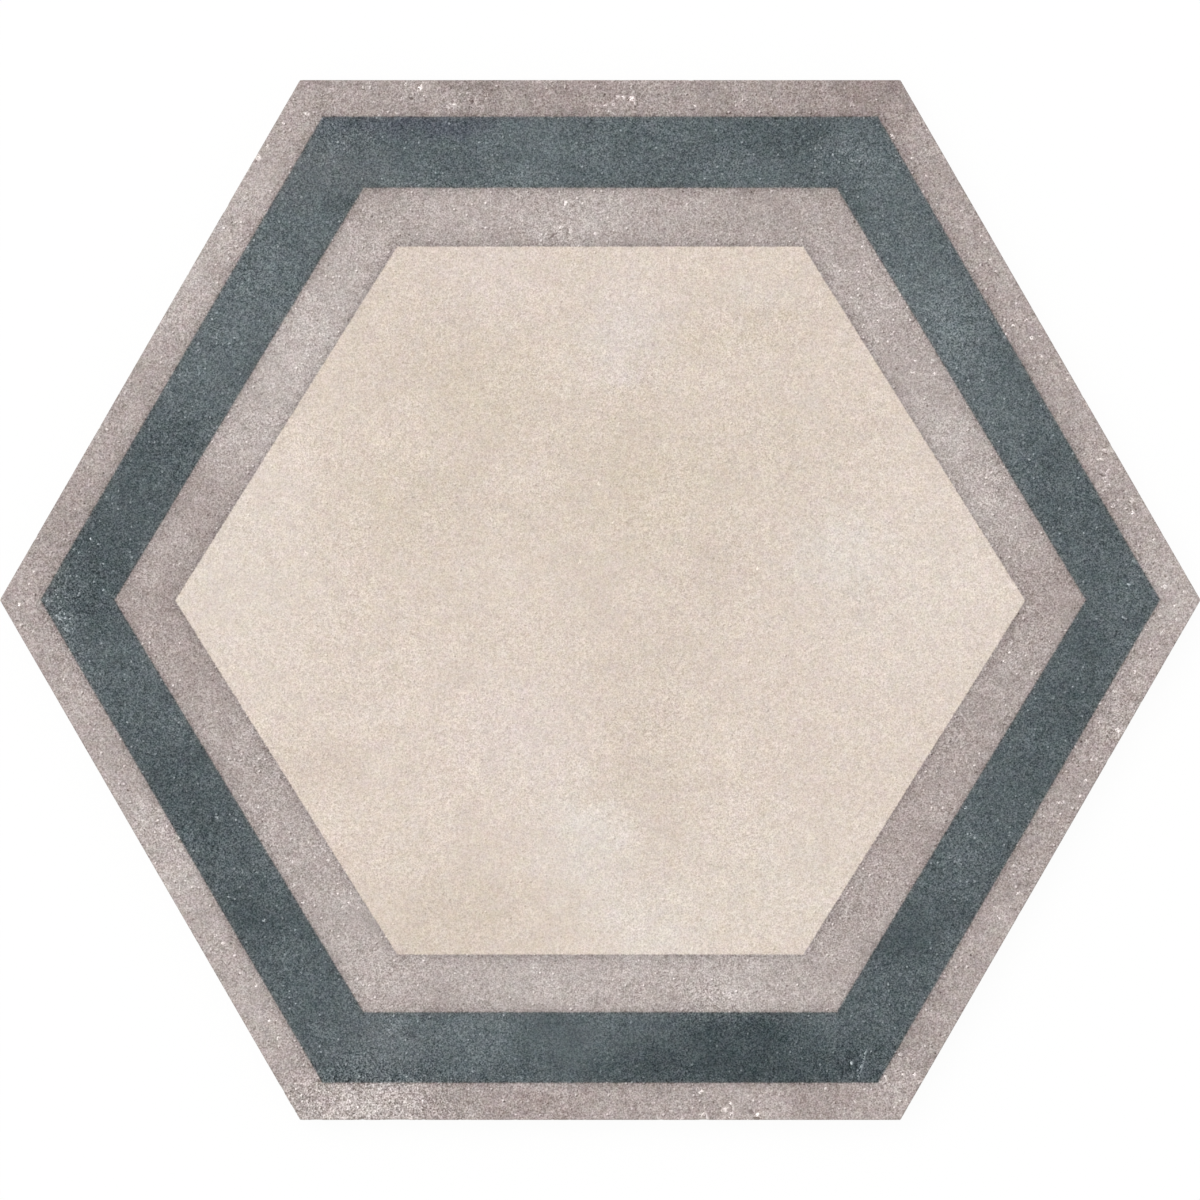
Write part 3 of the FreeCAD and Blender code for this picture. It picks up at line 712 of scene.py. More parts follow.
class Coat(Graph):
    """A material in the making, with what every finish of the tile starts from."""

    def __init__(self, name: str, shop: Workshop) -> None:
        """Start the material.

        Args:
            name: The material's name.
            shop: The shared node groups.
        """
        self.material = bpy.data.materials.new(name)
        self.material.use_nodes = True
        super().__init__(self.material.node_tree)
        self.shop = shop
        self.shader = self.tree.nodes["Principled BSDF"]
        self.place = self.vector("SCALE", self.add("TexCoord").outputs["Object"], 1.0 / MILLIMETRE)
        self.grain = self.group(shop.grain, position=self.place)
        self.fine, self.middle, _ = self.split(self.grain["Grain"])

    def layer(self, name: str, output: str = "Vector") -> Socket:
        """What a layer of the mesh's points holds."""
        return self.add("Attribute", attribute_name=name).outputs[output]

    def unroll(self) -> Socket:
        """Lay upright walls out flat, so that a flat pattern covers them without streaks.

        Returns:
            The place in millimetres, moved along the surface's normal by its height.
        """
        normal = self.add("NewGeometry").outputs["True Normal"]
        return self.vector("ADD", self.place, self.vector("SCALE", normal, self.split(self.place)[2]))

    def finish(
        self, colour: Value, roughness: Value, relief: Value, relief_height: float, sheen: float = 0.0
    ) -> bpy.types.Material:
        """Feed the shader.

        Args:
            colour: The colour, as display levels from 0 to 1.
            roughness: The roughness.
            relief: The surface's fine relief, about zero.
            relief_height: The height of one unit of it, in metres.
            sheen: The white light that the surface reflects, which its colour leaves out.

        Returns:
            The material.
        """
        base = self.add("Gamma", {"Color": colour, "Gamma": DISPLAY_GAMMA}).outputs[0]
        bump = self.add("Bump", {"Height": relief, "Distance": relief_height}).outputs[0]
        self.feed(self.shader, {
            "Base Color": self.vector("SUBTRACT", base, grey(sheen)),
            "Roughness": roughness,
            "Normal": bump,
        })
        return self.material


@dataclass(frozen=True)
class PrintedHexagon:
    """Outline of one colour of the print, in millimetres.

    half_top is half the length of its level sides, and drop how far its centre lies below
    the tile's.
    """

    half_height: float
    half_width: float
    half_top: float
    drop: float


@dataclass(frozen=True)
class Ink:
    """One colour of the print: its level and how much each kind of grain moves it.

    Levels and strengths are display levels. grain holds the strengths of the fine, middle
    and coarse grain, and mottle those of the slow mottling at each of its sizes.
    """

    level: Triple
    grain: Triple
    mottle: tuple[float, float]
    warm: Triple
    cool: Triple
    pale_flecks: Triple
    # Strength of the dark spots: pits, and painted shadows beside the pale grains.
    pits_and_grain_shadows: Triple


INKS = {
    Band.OUTER_TAUPE: Ink(
        level=(176.5, 165.2, 161.5), grain=(12.8, 5.4, 2.6), mottle=(1.6, 1.6),
        warm=(0.62, -0.36, -0.26), cool=(0.0, -0.45, 0.48),
        pale_flecks=grey(58.0), pits_and_grain_shadows=grey(40.0),
    ),
    Band.SLATE: Ink(
        level=(95.5, 103.2, 106.2), grain=(12.2, 4.2, 1.8), mottle=(1.6, 1.6),
        warm=(0.45, -0.25, -0.2), cool=(0.0, -0.35, 0.36),
        pale_flecks=grey(54.0), pits_and_grain_shadows=grey(12.0),
    ),
    Band.INNER_TAUPE: Ink(
        level=(182.1, 171.2, 167.2), grain=(13.0, 5.1, 2.6), mottle=(1.4, 1.7),
        warm=(0.53, -0.3, -0.23), cool=(0.0, -0.35, 0.35),
        pale_flecks=grey(58.0), pits_and_grain_shadows=grey(34.0),
    ),
    Band.CREAM: Ink(
        level=(222.0, 207.5, 195.7), grain=(7.8, 3.2, 1.2), mottle=(0.6, 0.8),
        warm=(0.48, -0.47, -0.01), cool=(-0.4, -0.4, 0.8),
        pale_flecks=grey(17.0), pits_and_grain_shadows=grey(18.0),
    ),
}


@dataclass(frozen=True)
class PrintTone:
    """Slow changes of tone over the print, held at the points of the mesh.

    Taupe bands lie between the slate and the cream ones, so two layers hold all four.
    Lengths are millimetres. wander holds the size and the reach of each drift that bends
    the clouds' outlines.
    """

    taupe_layer: str = "taupe_tone"
    other_layer: str = "slate_and_cream_tone"
    coarse_layer: str = "coarseness"
    coarse_spread: tuple[float, float] = (0.06, 0.05)
    coarse_range: tuple[float, float] = (0.45, 1.8)
    wander: tuple[tuple[float, float], ...] = ((12.0, 3.5), (4.0, 2.0))
    mottle_sizes: tuple[float, float] = (15.0, 6.0)
    mottle_spread: float = 3.4
    mottle_offset: float = 9.0
    seed: int = 3

    def paint(self, mesh: bpy.types.Mesh, half_heights: Triple) -> None:
        """Write the layers of tone and of coarseness.

        Args:
            mesh: The tile's mesh, in metres.
            half_heights: Half heights of the slate, inner taupe and cream outlines.
        """
        points = flat_places(mesh.vertices, "co")
        noise.seed_set(self.seed)
        moved = points + sum(self._noise(points, size, reach) for size, reach in self.wander)
        mottle = [
            self._noise(points + size * self.mottle_offset, size, self.mottle_spread)[:, 0]
            for size in self.mottle_sizes
        ]
        tones = {}
        for band, ink in INKS.items():
            tone = sum(strength * cloudy for strength, cloudy in zip(ink.mottle, mottle))[:, None]
            tones[band] = sum(
                (cloud.cover(moved)[:, None] * cloud.change for cloud in CLOUDS[band]), start=tone)
        across, along = np.abs(points).T
        size = np.maximum(along, across * COS_30 + 0.5 * along)[:, None]
        slate, inner, cream = half_heights
        outer, middle = size > 0.5 * (slate + inner), size < 0.5 * (inner + cream)
        taupe = np.where(outer, tones[Band.OUTER_TAUPE], tones[Band.INNER_TAUPE])
        other = np.where(middle, tones[Band.CREAM], tones[Band.SLATE])
        coarse = sum((part * cloudy for part, cloudy in zip(self.coarse_spread, mottle)), coarseness(moved))
        write_layer(mesh, self.taupe_layer, taupe)
        write_layer(mesh, self.other_layer, other)
        write_layer(mesh, self.coarse_layer, coarse.clip(*self.coarse_range))

    @staticmethod
    def _noise(points: Array, size: float, reach: float) -> Array:
        """Two smooth random numbers for each point.

        Args:
            points: The points, one row each.
            size: Size of the random field's features.
            reach: What the numbers are multiplied by.

        Returns:
            One row of two numbers for each point.
        """
        rows = [noise.noise_vector(Vector((x, y, size)))[:2] for x, y in points / size]
        return reach * np.array(rows)


@dataclass(frozen=True)
class PrintedGlaze:
    """Matt glaze of the face, printed with concentric hexagon bands.

    Lengths are millimetres and colours display levels; grain_height is metres. outlines
    are those of the slate, inner taupe and cream bands. A shade darkens or tints a band
    along its borders, and sheen is the white light that the glaze itself reflects.
    """

    outlines: tuple[PrintedHexagon, ...] = (
        PrintedHexagon(106.82, 123.79, 61.40, -0.06),
        PrintedHexagon(91.12, 107.35, 52.30, 0.0),
        PrintedHexagon(78.27, 93.99, 44.89, 0.12),
    )
    print_softness: float = 0.22
    print_wander: float = 0.035
    print_wander_size: float = 0.7
    taupe_shade: Triple = (-25.5, -24.5, -23.5)
    taupe_shade_reach: float = 1.02
    slate_shade: Triple = (4.0, -2.0, -5.0)
    slate_shade_reach: float = 0.4
    fleck_spacing: float = 1.35
    fleck_share: float = 0.36
    fleck_radius: float = 0.28
    # The dark spots are pits, and painted shadows of the pale grains: the offset puts one just to the lower
    # right of each pale grain.
    pit_and_shadow_share: float = 0.62
    pit_and_shadow_radius: float = 0.27
    grain_shadow_offset: Triple = (-0.22, 0.2, 0.0)
    mark_wander: float = 0.13
    mark_grain: float = 0.22
    chip_colour: Triple = (206.0, 197.0, 190.0)
    sheen: float = 0.028
    specular: float = 0.35
    roughness: float = 0.6
    roughness_spread: float = 0.03
    grain_height: float = 0.000012
    fleck_height: float = 5.0
    tone: PrintTone = PrintTone()

    def dress(self, shop: Workshop, name: str, marks: Sequence[Spot] = ()) -> bpy.types.Material:
        """Make the material.

        Args:
            shop: The shared node groups.
            name: The material's name.
            marks: The single marks that it also draws.

        Returns:
            The glaze's material.
        """
        coat = Coat(name, shop)
        steps, on_taupe, colour = self._print(coat)
        coarse = coat.layer(self.tone.coarse_layer, "Fac")
        # deep holds the dark spots: pits, and painted shadows beside the pale grains.
        pale, deep = self._flecks(coat, coarse)
        layers = coat.layer(self.tone.other_layer), coat.layer(self.tone.taupe_layer)
        strengths = self._layered(coat, steps, "grain")
        grain = coat.vector("DOT_PRODUCT", coat.grain["Grain"], strengths)
        shifts = [colour, coat.blend(on_taupe, *layers), coat.math("MULTIPLY", grain, coarse)]
        for ink_part, amount in (
            ("pale_flecks", pale), ("pits_and_grain_shadows", deep), ("warm", coat.grain["Warm"]), ("cool", coat.grain["Cool"])
        ):
            shifts.append(coat.vector("SCALE", self._layered(coat, steps, ink_part), amount))
        if marks:
            shifts.append(self._marks(coat, marks))
        colour = coat.blend(coat.layer(WornArris.layer, "Fac"), coat.total(shifts), self.chip_colour)
        colour = coat.vector("MAXIMUM", coat.vector("SCALE", colour, 1.0 / LEVELS), grey(0.0))
        rough = coat.math("MULTIPLY_ADD", coat.middle, self.roughness_spread, self.roughness)
        relief = coat.math("ADD", coat.fine, coat.middle)
        relief = coat.math("MULTIPLY_ADD", pale, self.fleck_height, relief)
        coat.feed(coat.shader, {"Specular IOR Level": self.specular})
        return coat.finish(colour, rough, relief, self.grain_height, self.sheen)

    @staticmethod
    def _layered(coat: Coat, steps: Sequence[Socket], ink_part: str) -> Value:
        """Pick each band's own value of one part of its ink.

        Args:
            coat: The material in the making.
            steps: For each outline, 1 inside it and 0 outside.
            ink_part: Name of the ink's field.

        Returns:
            A vector that holds the value of the band at that place.
        """
        result, *others = (getattr(ink, ink_part) for ink in INKS.values())
        for step, value in zip(steps, others):
            result = coat.blend(step, result, value)
        return result

    def _print(self, coat: Coat) -> tuple[list[Socket], Socket, Socket]:
        """Lay down the flat colours and the shading along their borders.

        Args:
            coat: The material in the making.

        Returns:
            For each outline 1 inside it and 0 outside, then 1 on the taupe bands and 0
            elsewhere, then the colour in display levels.
        """
        unit, _ = coat.noise(coat.place, self.print_wander_size, octaves=1.0)
        wander = coat.math("MULTIPLY", unit, self.print_wander)
        distances = []
        for outline in self.outlines:
            lifted = coat.vector("ADD", coat.place, (0.0, outline.drop, 0.0))
            distance, = coat.group(
                coat.shop.distance, position=lifted, half_height=outline.half_height,
                half_width=outline.half_width, half_top=outline.half_top)
            distances.append(coat.math("ADD", distance, wander))
        steps = [coat.ease(d, -self.print_softness, self.print_softness) for d in distances]
        slate = coat.math("SUBTRACT", steps[0], steps[1])
        on_taupe = coat.math("SUBTRACT", 1.0, coat.math("ADD", slate, steps[2]), clamp=True)
        gaps = [coat.math("ABSOLUTE", distance) for distance in distances]
        slate_gap = coat.math("MINIMUM", gaps[0], gaps[1])
        taupe_gap = coat.math("MINIMUM", slate_gap, gaps[2])
        colours = [self._layered(coat, steps, "level")]
        for shade, gap, reach, band in (
            (self.taupe_shade, taupe_gap, self.taupe_shade_reach, on_taupe),
            (self.slate_shade, slate_gap, self.slate_shade_reach, slate),
        ):
            fade = coat.math("EXPONENT", coat.math("MULTIPLY", gap, -1.0 / reach))
            colours.append(coat.vector("SCALE", shade, coat.math("MULTIPLY", fade, band)))
        return steps, on_taupe, coat.total(colours)

    def _flecks(self, coat: Coat, coarse: Socket) -> tuple[Socket, Socket]:
        """Where pale grains lie, and small dark spots: real pits, and painted shadows just to the lower
        right of the pale grains.

        Args:
            coat: The material in the making.
            coarse: How coarse the grain is.

        Returns:
            The strength of a pale grain, then of a dark spot, pit and painted grain shadow alike, which is
            below zero.
        """
        flat = coat.unroll()
        share = coat.math("MULTIPLY", coat.math("MULTIPLY", coarse, coarse), self.fleck_share)
        pale, = coat.group(
            coat.shop.flecks, position=flat, spacing=self.fleck_spacing, share=share,
            radius=self.fleck_radius)
        pits_and_grain_shadows, = coat.group(
            coat.shop.flecks, position=coat.vector("ADD", flat, self.grain_shadow_offset),
            spacing=self.fleck_spacing, share=self.pit_and_shadow_share, radius=self.pit_and_shadow_radius)
        return pale, coat.math("MULTIPLY", pits_and_grain_shadows, -1.0)

    def _marks(self, coat: Coat, marks: Sequence[Spot]) -> Socket:
        """The small marks, with edges that the grain breaks up; the dark ones beside pale chips and grains
        are partly painted shade.

        Args:
            coat: The material in the making.
            marks: The marks to draw.

        Returns:
            The shift in display levels.
        """
        ragged = coat.vector("SCALE", coat.grain["Grain"], self.mark_wander)
        level = coat.vector("MULTIPLY", coat.vector("ADD", coat.place, ragged), (1.0, 1.0, 0.0))
        shift: Value = 0.0
        for mark in marks:
            mask, = coat.group(
                coat.shop.mark, position=level, centre=(*mark.centre, 0.0),
                reach=(*mark.reach, 1.0), turn=math.radians(-mark.turn))
            shift = coat.math("MULTIPLY_ADD", mask, mark.change, shift)
        uneven = coat.math("MULTIPLY_ADD", coat.fine, self.mark_grain, 1.0)
        return coat.math("MULTIPLY", shift, uneven)


@dataclass(frozen=True)
class FiredBody:
    """Bare porcelain of the walls and back, with kiln wash on what stands proud.

    Colours and their shifts are display levels from 0 to 1, and lengths millimetres;
    relief_height is metres.
    """

    name: str
    colour: Triple = (0.77, 0.73, 0.67)
    grain: Triple = (0.02, 0.015, 0.012)
    warmth: float = 0.012
    speck_shift: float = -0.16
    speck_spacing: float = 1.4
    speck_share: float = 0.35
    speck_radius: float = 0.3
    wash: float = 0.0
    wash_colour: Triple = (0.90, 0.89, 0.87)
    wash_height: float = 0.12
    wash_size: float = 9.0
    wash_spread: float = 0.5
    roughness: float = 0.8
    relief_height: float = 0.00003

    def dress(self, shop: Workshop) -> bpy.types.Material:
        """Make the material.

        Args:
            shop: The shared node groups.

        Returns:
            The body's material.
        """
        coat = Coat(self.name, shop)
        tone = coat.vector("DOT_PRODUCT", coat.grain["Grain"], self.grain)
        tone = coat.math("MULTIPLY_ADD", coat.grain["Warm"], self.warmth, tone)
        specks, = coat.group(
            shop.flecks, position=coat.unroll(), spacing=self.speck_spacing,
            share=self.speck_share, radius=self.speck_radius)
        tone = coat.math("MULTIPLY_ADD", specks, self.speck_shift, tone)
        colour = coat.vector("ADD", self.colour, tone)
        if self.wash:
            height = coat.split(coat.place)[2]
            low = coat.math("SUBTRACT", 1.0, coat.ease(height, 0.0, self.wash_height))
            patchy, _ = coat.noise(coat.place, self.wash_size, octaves=4.0)
            cover = coat.math("MULTIPLY_ADD", patchy, self.wash_spread, self.wash, clamp=True)
            colour = coat.blend(coat.math("MULTIPLY", low, cover), colour, self.wash_colour)
        relief = coat.math("ADD", coat.fine, coat.middle)
        return coat.finish(colour, self.roughness, relief, self.relief_height)


def place_object(name: str, data: bpy.types.ID) -> bpy.types.Object:
    """Make an object and put it in the scene.

    Args:
        name: The object's name.
        data: Its mesh, camera or light.

    Returns:
        The object.
    """
    thing = bpy.data.objects.new(name, data)
    bpy.context.scene.collection.objects.link(thing)
    return thing


@dataclass
class MeshDraft:
    """Points and faces of a mesh while it is being built, in millimetres.

    broken holds how much of a nick each point lies in.
    """

    points: list[Array] = field(default_factory=list)
    broken: list[Array] = field(default_factory=list)
    faces: list[tuple[int, ...]] = field(default_factory=list)
    skins: list[int] = field(default_factory=list)

    def add_points(self, points: Array, broken: Union[Array, float] = 0.0) -> Array:
        """Add points.

        Args:
            points: Their coordinates, one row each.
            broken: How much of a nick each lies in.

        Returns:
            Their numbers in the mesh.
        """
        start = sum(map(len, self.points))
        self.points.append(points)
        self.broken.append(np.broadcast_to(broken, len(points)))
        return np.arange(start, start + len(points))

    def add_faces(self, corners: Sequence[Array], skin: Skin) -> None:
        """Add a row of faces that wear one finish.

        Args:
            corners: The numbers of the faces' first points, then of their second ones,
                and so on.
            skin: The finish.
        """
        faces = np.stack(corners, axis=1).tolist()
        self.faces.extend(faces)
        self.skins.extend([int(skin)] * len(faces))

    def bridge(self, upper: Array, lower: Array, skin: Skin) -> None:
        """Join two closed loops of as many points with a band of quads."""
        self.add_faces((upper, lower, np.roll(lower, -1), np.roll(upper, -1)), skin)

    def build(self, name: str) -> bpy.types.Object:
        """Make the Blender object.

        Args:
            name: The object's name.

        Returns:
            The object, in the scene and in metres.
        """
        mesh = bpy.data.meshes.new(name)
        points = np.concatenate(self.points) * MILLIMETRE
        mesh.from_pydata(points.tolist(), [], self.faces)
        mesh.polygons.foreach_set("material_index", self.skins)
        mesh.polygons.foreach_set("use_smooth", [True] * len(self.faces))
        mesh.validate()
        mesh.update()
        write_layer(mesh, WornArris.layer, np.concatenate(self.broken))
        return place_object(name, mesh)


def heading(degrees: Union[float, Array]) -> Array:
    """Direction at an angle from +X, or one row for each of several."""
    angle = np.radians(degrees)
    return np.stack([np.cos(angle), np.sin(angle)], axis=-1)


def cloudy(points: Array, size: float, level: float = 0.0) -> Array:
    """Draw one smooth random number for each point.

    Args:
        points: The points, of which only the place seen from above counts.
        size: Size of the random field's features.
        level: The level at which the field is cut.

    Returns:
        The numbers, mostly between -1 and 1.
    """
    return np.array([noise.noise(Vector((x / size, y / size, level))) for x, y in points[:, :2]])


def level_points(flat: Array, height: float) -> Array:
    """Lift places seen from above to a height."""
    return np.column_stack([flat, np.full(len(flat), height)])


@dataclass(frozen=True)
class TileOutline:
    """The rounded hexagon that every level loop of the tile follows, in millimetres."""

    half_flats: float
    corner_radius: float
    points_per_side: int
    steps_per_arc: int = 3
    least_radius: float = 0.15

    def loop(self, inset: float, height: float) -> Array:
        """One closed loop, from the corner on +X and anticlockwise from above.

        Args:
            inset: How far it lies inside the face's outline.
            height: Its level.

        Returns:
            Six times points_per_side points.
        """
        radius = max(self.corner_radius - inset, self.least_radius)
        reach = (self.half_flats - inset - radius) / COS_30
        arc = np.linspace(0, 30, self.steps_per_arc + 1)
        along = np.linspace(0, 1, self.points_per_side - 2 * self.steps_per_arc + 1)[1:-1, None]
        rows = []
        for turn in range(0, 360, 60):
            leaving = heading(turn) * reach + radius * heading(turn + arc)
            arriving = heading(turn + 60) * reach + radius * heading(turn + 30 + arc)
            rows += [leaving, leaving[-1] * (1 - along) + arriving[0] * along, arriving[:-1]]
        return level_points(np.concatenate(rows), height)


@dataclass(frozen=True)
class Chip:
    """A nick in the arris, placed by a photograph pixel that lies nearest to it.

    Lengths are millimetres: half its length along the edge, how far it bites into the
    face and how far down the wall.
    """

    x: float
    y: float
    half_length: float
    bite: float
    drop: float


CHIPS = (
    Chip(226, 207, 1.0, 0.55, 0.8), Chip(258, 157, 0.5, 0.28, 0.5), Chip(205, 247, 0.5, 0.22, 0.4),
    Chip(188, 273, 0.6, 0.25, 0.5), Chip(100, 427, 0.6, 0.30, 0.5), Chip(36, 538, 0.5, 0.25, 0.5),
    Chip(1109, 449, 0.9, 0.9, 1.2), Chip(1082, 396, 0.6, 0.25, 0.5), Chip(1094, 418, 0.5, 0.20, 0.4),
    Chip(958, 180, 0.6, 0.22, 0.4), Chip(661, 1119, 0.8, 0.25, 0.5), Chip(704, 1119, 1.0, 0.35, 0.6),
    Chip(691, 79, 0.6, 0.25, 0.5), Chip(700, 1119, 0.6, 0.30, 0.5),
)


@dataclass(frozen=True)
class WornArris:
    """The face's edge: where it has been nicked, and how deep, in millimetres.

    A nick is swell deep in its middle and at most cap, as shares of its bite and drop, and
    press of that is pushed in. It shows the body under the glaze as strongly as contrast
    says, once its bite is bare_bite. It ends span half lengths from its middle.
    """

    layer: ClassVar[str] = "broken_edge"

    outline: TileOutline
    top: float
    seed: int = 11
    fine_nicks: int = 520
    fine_bite: tuple[float, float] = (0.05, 0.2)
    fine_half_length: tuple[float, float] = (0.3, 0.8)
    fine_drop: float = 2.0
    coarse_bite: float = 2.0
    span: float = 2.0
    swell: float = 1.6
    cap: float = 1.15
    press: float = 0.7
    contrast: float = 4.0
    bare_bite: float = 0.25

    def nicks(self) -> list[tuple[Array, float, float, float]]:
        """Every nick, large and fine.

        Returns:
            For each, its place on the face, half length, bite and drop.
        """
        found = [
            (PHOTO.to_tile(chip.x, chip.y), chip.half_length, chip.bite, chip.drop) for chip in CHIPS
        ]
        draw = np.random.default_rng(self.seed)
        rim = self.outline.loop(0.0, self.top)[:, :2]
        places = rim[draw.integers(0, len(rim), self.fine_nicks)]
        for place, coarse in zip(places, coarseness(places)):
            bite = draw.uniform(*self.fine_bite) * (1.0 + self.coarse_bite * max(coarse - 1.0, 0.0))
            found.append((place, draw.uniform(*self.fine_half_length), bite, self.fine_drop * bite))
        return found

    def wear(self, points: Array, insets: Array) -> tuple[Array, Array]:
        """Press every nick into points near the arris.

        Args:
            points: The points, one row each.
            insets: How far each lies inside the face's outline.

        Returns:
            The moved points, and from 0 to 1 how much of a nick each lies in.
        """
        moved = points.copy()
        broken = np.zeros(len(points))
        flat = points[:, :2]
        sector = np.round((np.degrees(np.arctan2(flat[:, 1], flat[:, 0])) - 30) / 60)
        inward = -heading(60 * sector + 30)
        for place, half_length, bite, drop in self.nicks():
            away = np.linalg.norm(flat - place, axis=1)
            near = away < self.span * half_length
            reach = np.clip(self.swell * np.exp(-((away[near] / half_length) ** 2)), 0.0, self.cap)
            filled = insets[near] / bite + (self.top - points[near, 2]) / drop
            push = np.clip(reach - filled, 0.0, None) * self.press
            moved[near, :2] += inward[near] * (push * bite)[:, None]
            moved[near, 2] -= push * drop
            shown = np.clip(push * self.contrast * min(bite / self.bare_bite, 1.0), 0.0, 1.0)
            broken[near] = np.maximum(broken[near], shown)
        return moved, broken


@dataclass(frozen=True)
class Cell:
    """A convex polygon seen from above, its corners anticlockwise, one row each."""

    corners: Array

    def clipped(self, half_flats: float) -> "Cell":
        """Cut it off at a hexagon about the origin.

        Args:
            half_flats: The hexagon's distance from the origin to a side.

        Returns:
            What lies inside the hexagon.
        """
        corners = list(self.corners)
        for turn in range(30, 390, 60):
            depths = [half_flats - place @ heading(turn) for place in corners]
            kept = []
            for place, depth, following, next_depth in zip(
                corners, depths, corners[1:] + corners[:1], depths[1:] + depths[:1]
            ):
                if depth >= 0:
                    kept.append(place)
                if depth * next_depth < 0:
                    kept.append(place + (following - place) * depth / (depth - next_depth))
            corners = kept
        return Cell(np.array(corners))

    def inset(self, distance: float) -> "Cell":
        """Move every side inwards.

        Args:
            distance: How far.

        Returns:
            The smaller polygon.
        """
        sides = np.roll(self.corners, -1, axis=0) - self.corners
        sides /= np.linalg.norm(sides, axis=1, keepdims=True)
        before = np.roll(sides, 1, axis=0)
        sine = before[:, 0] * sides[:, 1] - before[:, 1] * sides[:, 0]
        return Cell(self.corners + distance * (before - sides) / -sine[:, None])

    def softened(self, radius: float) -> Array:
        """Round each corner with three points of a smooth curve.

        Args:
            radius: How far from the corner the curve starts and ends.

        Returns:
            All the points, one row each.
        """
        before, after = (np.roll(self.corners, way, axis=0) - self.corners for way in (1, -1))
        before *= radius / np.linalg.norm(before, axis=1, keepdims=True)
        after *= radius / np.linalg.norm(after, axis=1, keepdims=True)
        middle = self.corners + 0.25 * (before + after)
        return np.stack([self.corners + before, middle, self.corners + after], axis=1).reshape(-1, 2)


